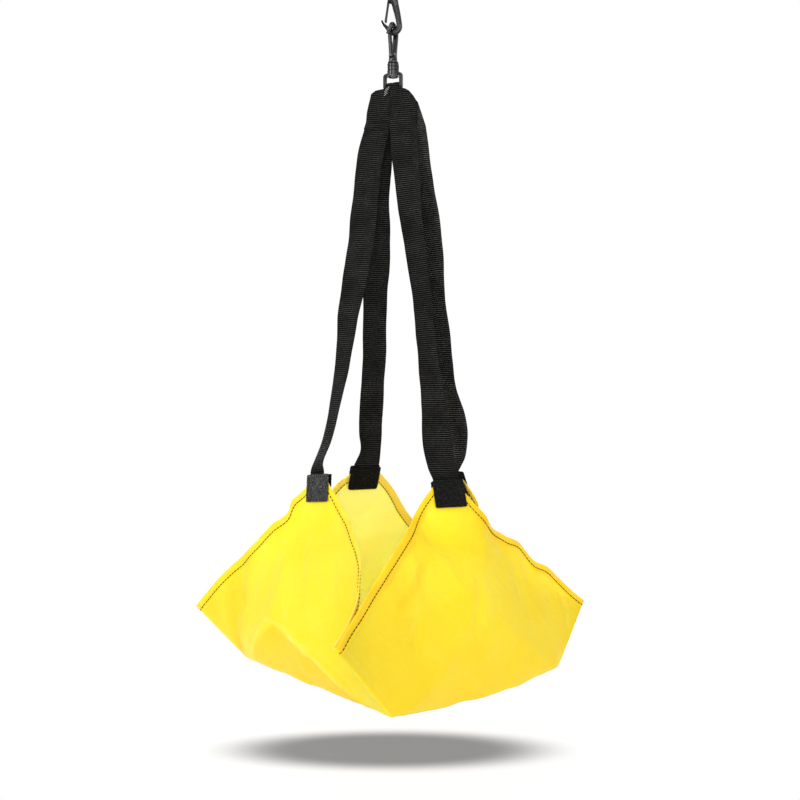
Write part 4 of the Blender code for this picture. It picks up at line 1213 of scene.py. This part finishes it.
def patch_spot(kind, a, b, seed):
    """A patch's spot at shares from -1 to 1: how far across, down and out it is, and half its thickness."""
    x, y = a * PATCH_WIDTH / 2, b * PATCH_HEIGHT / 2
    ragged, wave = (
        noise.noise(Vector((x * waves, y * waves, seed + more))) * size
        for (waves, size), more in ((RAGGED, 0), (WAVY, 2))
    )
    x += ragged * abs(a) ** 8
    y += ragged * abs(b) ** 8
    rounded = CORNER_ROUNDING * (abs(a) * abs(b)) ** 16
    x -= math.copysign(rounded, a)
    y -= math.copysign(rounded, b)
    if kind == "inner":
        bend = -BESIDE_STRAP * smooth((abs(x) - STRAP_EDGE) / BESIDE_FADE)
    else:
        bend = OUTER_BOW * math.cos(a * 3)
    dent = PRESSED * hump(PATCH_WIDTH / 2 - abs(x), PRESSED_INSET, PRESSED_WIDTH)
    thinned = 1 - THINNING * smooth((max(abs(a), abs(b)) - THINNING_START) / (1 - THINNING_START))
    return x, y, bend + wave, PATCH_THICKNESS / 2 * thinned - dent


def make_patch(corner, kind, material):
    centre, across, down, out = corner_frame(corner)
    offset = PATCH_PLACES[kind]
    away = out * math.copysign(1, offset)
    seed = 17.3 * list(CORNERS).index(corner) + (5.0 if kind == "outer" else 0.0)
    tops, bottoms = [], []
    for j in range(PATCH_ROWS + 1):
        for i in range(PATCH_COLUMNS + 1):
            x, y, rise, half = patch_spot(kind, 2 * i / PATCH_COLUMNS - 1, 2 * j / PATCH_ROWS - 1, seed)
            middle = centre + across * x + down * y + out * offset + away * rise
            tops.append(middle + away * half)
            bottoms.append(middle - away * half)
    faces = sheet_faces(PATCH_ROWS + 1, PATCH_COLUMNS + 1)
    return closed_mesh(f"sewn_patch_{kind}_{corner}", tops + bottoms, faces, material)


def patch_thread(material):
    """A box with a cross on each patch."""
    thread = Thread()
    wide, high = PATCH_WIDTH / 2 - BOX_INSETS[0], PATCH_HEIGHT / 2 - BOX_INSETS[1]
    spots = [(-wide, -high), (wide, -high), (wide, high), (-wide, high), (-wide, -high)]
    lines = list(zip(spots, spots[1:])) + [(spots[0], spots[2]), (spots[1], spots[3])]
    for corner in CORNERS:
        centre, across, down, out = corner_frame(corner)
        for offset in PATCH_PLACES.values():
            face = math.copysign(1, offset)
            surface = offset + face * (PATCH_THICKNESS / 2 + ABOVE_PATCH)
            for (x0, y0), (x1, y1) in lines:
                points = []
                for k in range(9):
                    x, y = x0 + (x1 - x0) * k / 8, y0 + (y1 - y0) * k / 8
                    points.append(centre + across * x + down * y + out * surface)
                thread.along(points, [out * face] * 9, stitch=BOX_STITCH, radius=THIN_THREAD / 2)
    return thread.make("patch_thread", material)


def strap_front(side, across_by, depth, face):
    """A spot on the front or the rear of the layers that pass over the bar, and its way out."""
    stations = over_the_bar(side)
    half = len(stations) // 2
    half_way = stations[half:] if face > 0 else stations[:half][::-1]
    height = BAR.z - depth
    for (a, across_a, _), (b, across_b, _) in zip(half_way, half_way[1:]):
        if a.z >= height >= b.z and a.z > b.z:
            t = (a.z - height) / (a.z - b.z)
            across = across_a.lerp(across_b, t).normalized()
            out = across.cross((b - a).normalized()).normalized()
            if out.y * face > 0:
                out = -out
            middle = BAR + across * pair_shift(depth)
            place = a.lerp(b, t)
            place = place + across * (across_by - (place - middle).dot(across))
            return place + out * (WEBBING_THICKNESS / 2), out
    raise ValueError("no webbing there")


def bar_tack(material):
    """The slanted tack that closes the loops."""
    thread = Thread()
    for face in (1, -1):
        for k in range(4):
            (start, out), (end, _) = (
                strap_front(-1, across, TACK_START + TACK_PITCH * k + drop, face)
                for across, drop in TACK_ENDS
            )
            thread.stitch(start, end, out, radius=0.00019, sink=0.0001, arch=0.0001)
    return thread.make("bar_tack", material)


def tail_rows(material):
    """The two rows that hold each tail's end."""
    thread = Thread()
    for side, face in ((-1, 1), (1, -1)):
        for depth in ROW_DEPTHS:
            spots = [strap_front(side, side * (ROW_START + ROW_PITCH * k), depth, face) for k in range(9)]
            points, outs = zip(*spots)
            thread.along(points, outs, stitch=ROW_STITCH, radius=THIN_THREAD / 2)
    return thread.make("tail_rows", material)


# Materials on the solids

plastic = plastic_material()
# webbing: the light colour is the painted highlight on the ribs' crests
webbing = webbing_material("webbing", (0.001, 0.001, 0.001), (0.085, 0.083, 0.079))
# a copy of the webbing with a brighter painted highlight: painted light for the rear right strap
painted_lit_webbing = webbing_material("painted_lit_webbing", (0.003, 0.003, 0.003), (0.18, 0.178, 0.172))
patch_cloth = patch_material("patch_cloth", (0.002, 0.002, 0.0018), (0.022, 0.0215, 0.02))
# a lighter copy of the patch cloth: painted light for the patch that faces the left lamp
painted_lit_patch = patch_material("painted_lit_patch", (0.018, 0.018, 0.017), (0.135, 0.136, 0.132))
yellow = cloth_material()
brown_thread = thread_material("hem_thread", (0.02, 0.01, 0.001))
black_thread = thread_material("black_thread", (0.03, 0.03, 0.03))
pale_thread = thread_material("pale_thread", (0.6, 0.6, 0.58))
for node in ("upper_eye", "upper_hook", "upper_gate", "lower_hook", "lower_gate", "lower_eye"):
    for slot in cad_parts[node].material_slots:
        slot.material = plastic

# Pieces

canopy, cloth_lines = make_canopy(yellow)
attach(canopy, HARNESS)
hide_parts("canopy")
hem_seam = hem_thread(cloth_lines, brown_thread)
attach(hem_seam, HARNESS)
for corner in CORNERS:
    # the rear right strap gets the copy of the webbing with more painted light
    strap = make_strap(corner, painted_lit_webbing if corner == "rear_right" else webbing)
    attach(strap, HARNESS)
    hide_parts(f"strap_{corner}")
    for kind in ("outer", "inner"):
        # the front left outer patch gets the copy with painted light
        is_painted_lit = corner == "front_left" and kind == "outer"
        patch = make_patch(corner, kind, painted_lit_patch if is_painted_lit else patch_cloth)
        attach(patch, HARNESS)
        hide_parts(f"patch_{kind}_{corner}")
box_seams = patch_thread(black_thread)
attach(box_seams, HARNESS)
for rows in (bar_tack(pale_thread), tail_rows(black_thread)):
    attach(rows, HARNESS)


# Floor, light and camera

FLOOR = -0.7126
FLOOR_REACH = 6
# The painted shadow on the floor: the middle of its ellipse, and its half axes
SHADOW_MIDDLE = (-0.003, -0.003)
SHADOW_REACH = (0.158, 0.048)
LAMP_TARGET = Vector((0, 0, -0.5))
# Each lamp's place, its width and height, and its power in watts
LAMPS = {
    "left_softbox": ((-1.35, -0.95, 0.7), (0.4, 1.3), 15.5),
    "front_softbox": ((0.3, -2.05, 0.35), (1.4, 1.2), 20),
    "right_softbox": ((1.7, -0.9, 0.0), (0.5, 1.2), 3),
    "top_softbox": ((0.1, 0.2, 1.4), (1.6, 1.6), 9),
    "rear_softbox": ((-0.3, 2.0, 0.1), (1.2, 1.2), 46),
}
# The photograph's side and its camera's focal length, in pixels, and the sensor's width in millimetres
PICTURE_SIDE = 800
FOCAL_LENGTH = 870
SENSOR_WIDTH = 36
CAMERA_PLACE = (0.0064, -0.8, -0.3926)


def seen_rays(nodes):
    """1 for rays that bring a picture to the camera, straight, mirrored or through a clear body."""
    path = nodes.add("ShaderNodeLightPath").outputs
    seen = path["Is Camera Ray"]
    for ray in ("Is Glossy Ray", "Is Transmission Ray"):
        seen = nodes.math("MAXIMUM", seen, path[ray])
    return seen


def white_world():
    """White to the camera, and a dimmer light on the object."""
    world = bpy.data.worlds.new("white")
    bpy.context.scene.world = world
    nodes = Nodes(world)
    nodes.tree.nodes.clear()
    strength = nodes.spread(seen_rays(nodes), 0, 1, 0.5, 1.0)
    background = nodes.add("ShaderNodeBackground", {"Color": (1, 1, 1), "Strength": strength})
    nodes.add("ShaderNodeOutputWorld", {"Surface": background.outputs[0]})


def floor_material():
    """White, with a painted soft shadow below the object's middle, in which a little real shadow is kept."""
    nodes = Nodes(bpy.data.materials.new("floor"))
    nodes.tree.nodes.clear()
    place = nodes.add("ShaderNodeSeparateXYZ", {0: nodes.place()}).outputs
    squares = []
    for axis in (0, 1):
        off = nodes.math("SUBTRACT", place[axis], SHADOW_MIDDLE[axis])
        share = nodes.math("DIVIDE", off, SHADOW_REACH[axis])
        squares.append(nodes.math("MULTIPLY", share, share))
    far = nodes.math("SQRT", nodes.math("ADD", *squares))
    shade = nodes.spread(far, 0.5, 1.2, 0.29, 1.0, "SMOOTHERSTEP")
    grey = nodes.add("ShaderNodeCombineColor", {0: shade, 1: shade, 2: shade}).outputs[0]
    glow = nodes.add("ShaderNodeEmission", {"Color": grey}).outputs[0]
    matt = nodes.add("ShaderNodeBsdfDiffuse", {"Color": grey}).outputs[0]
    plain = nodes.add("ShaderNodeBsdfDiffuse", {"Color": (0.9, 0.9, 0.9)}).outputs[0]
    matt_share = nodes.spread(far, 0.9, 2.2, 0.1, 0.0)
    seen = nodes.add("ShaderNodeMixShader", {0: matt_share, 1: glow, 2: matt}).outputs[0]
    both = nodes.add("ShaderNodeMixShader", {0: seen_rays(nodes), 1: plain, 2: seen}).outputs[0]
    nodes.add("ShaderNodeOutputMaterial", {"Surface": both})
    return nodes.owner


def area_light(name, place, size, power):
    light = bpy.data.lights.new(name, "AREA")
    light.shape = "RECTANGLE"
    light.size, light.size_y = size
    light.energy = power
    made = bpy.data.objects.new(name, light)
    bpy.context.scene.collection.objects.link(made)
    way = LAMP_TARGET - Vector(place)
    made.matrix_world = Matrix.Translation(place) @ way.to_track_quat("-Z", "Y").to_matrix().to_4x4()


def make_camera():
    """The photograph's camera, level and straight ahead."""
    lens = bpy.data.cameras.new("camera")
    lens.sensor_fit = "HORIZONTAL"
    lens.sensor_width = SENSOR_WIDTH
    lens.lens = SENSOR_WIDTH * FOCAL_LENGTH / PICTURE_SIDE
    lens.clip_start = 0.01
    camera = bpy.data.objects.new("camera", lens)
    camera.location = CAMERA_PLACE
    camera.rotation_euler = (math.radians(90), 0, 0)
    bpy.context.scene.collection.objects.link(camera)
    bpy.context.scene.camera = camera


white_world()
floor_corners = [(FLOOR_REACH * x, FLOOR_REACH * y, FLOOR) for x, y in ((-1, -1), (1, -1), (1, 1), (-1, 1))]
floor = mesh_object("floor", floor_corners, [(0, 1, 2, 3)], floor_material())
for name, lamp in LAMPS.items():
    area_light(name, *lamp)
make_camera()
bpy.context.scene.view_settings.view_transform = "Standard"

bpy.context.view_layer.update()
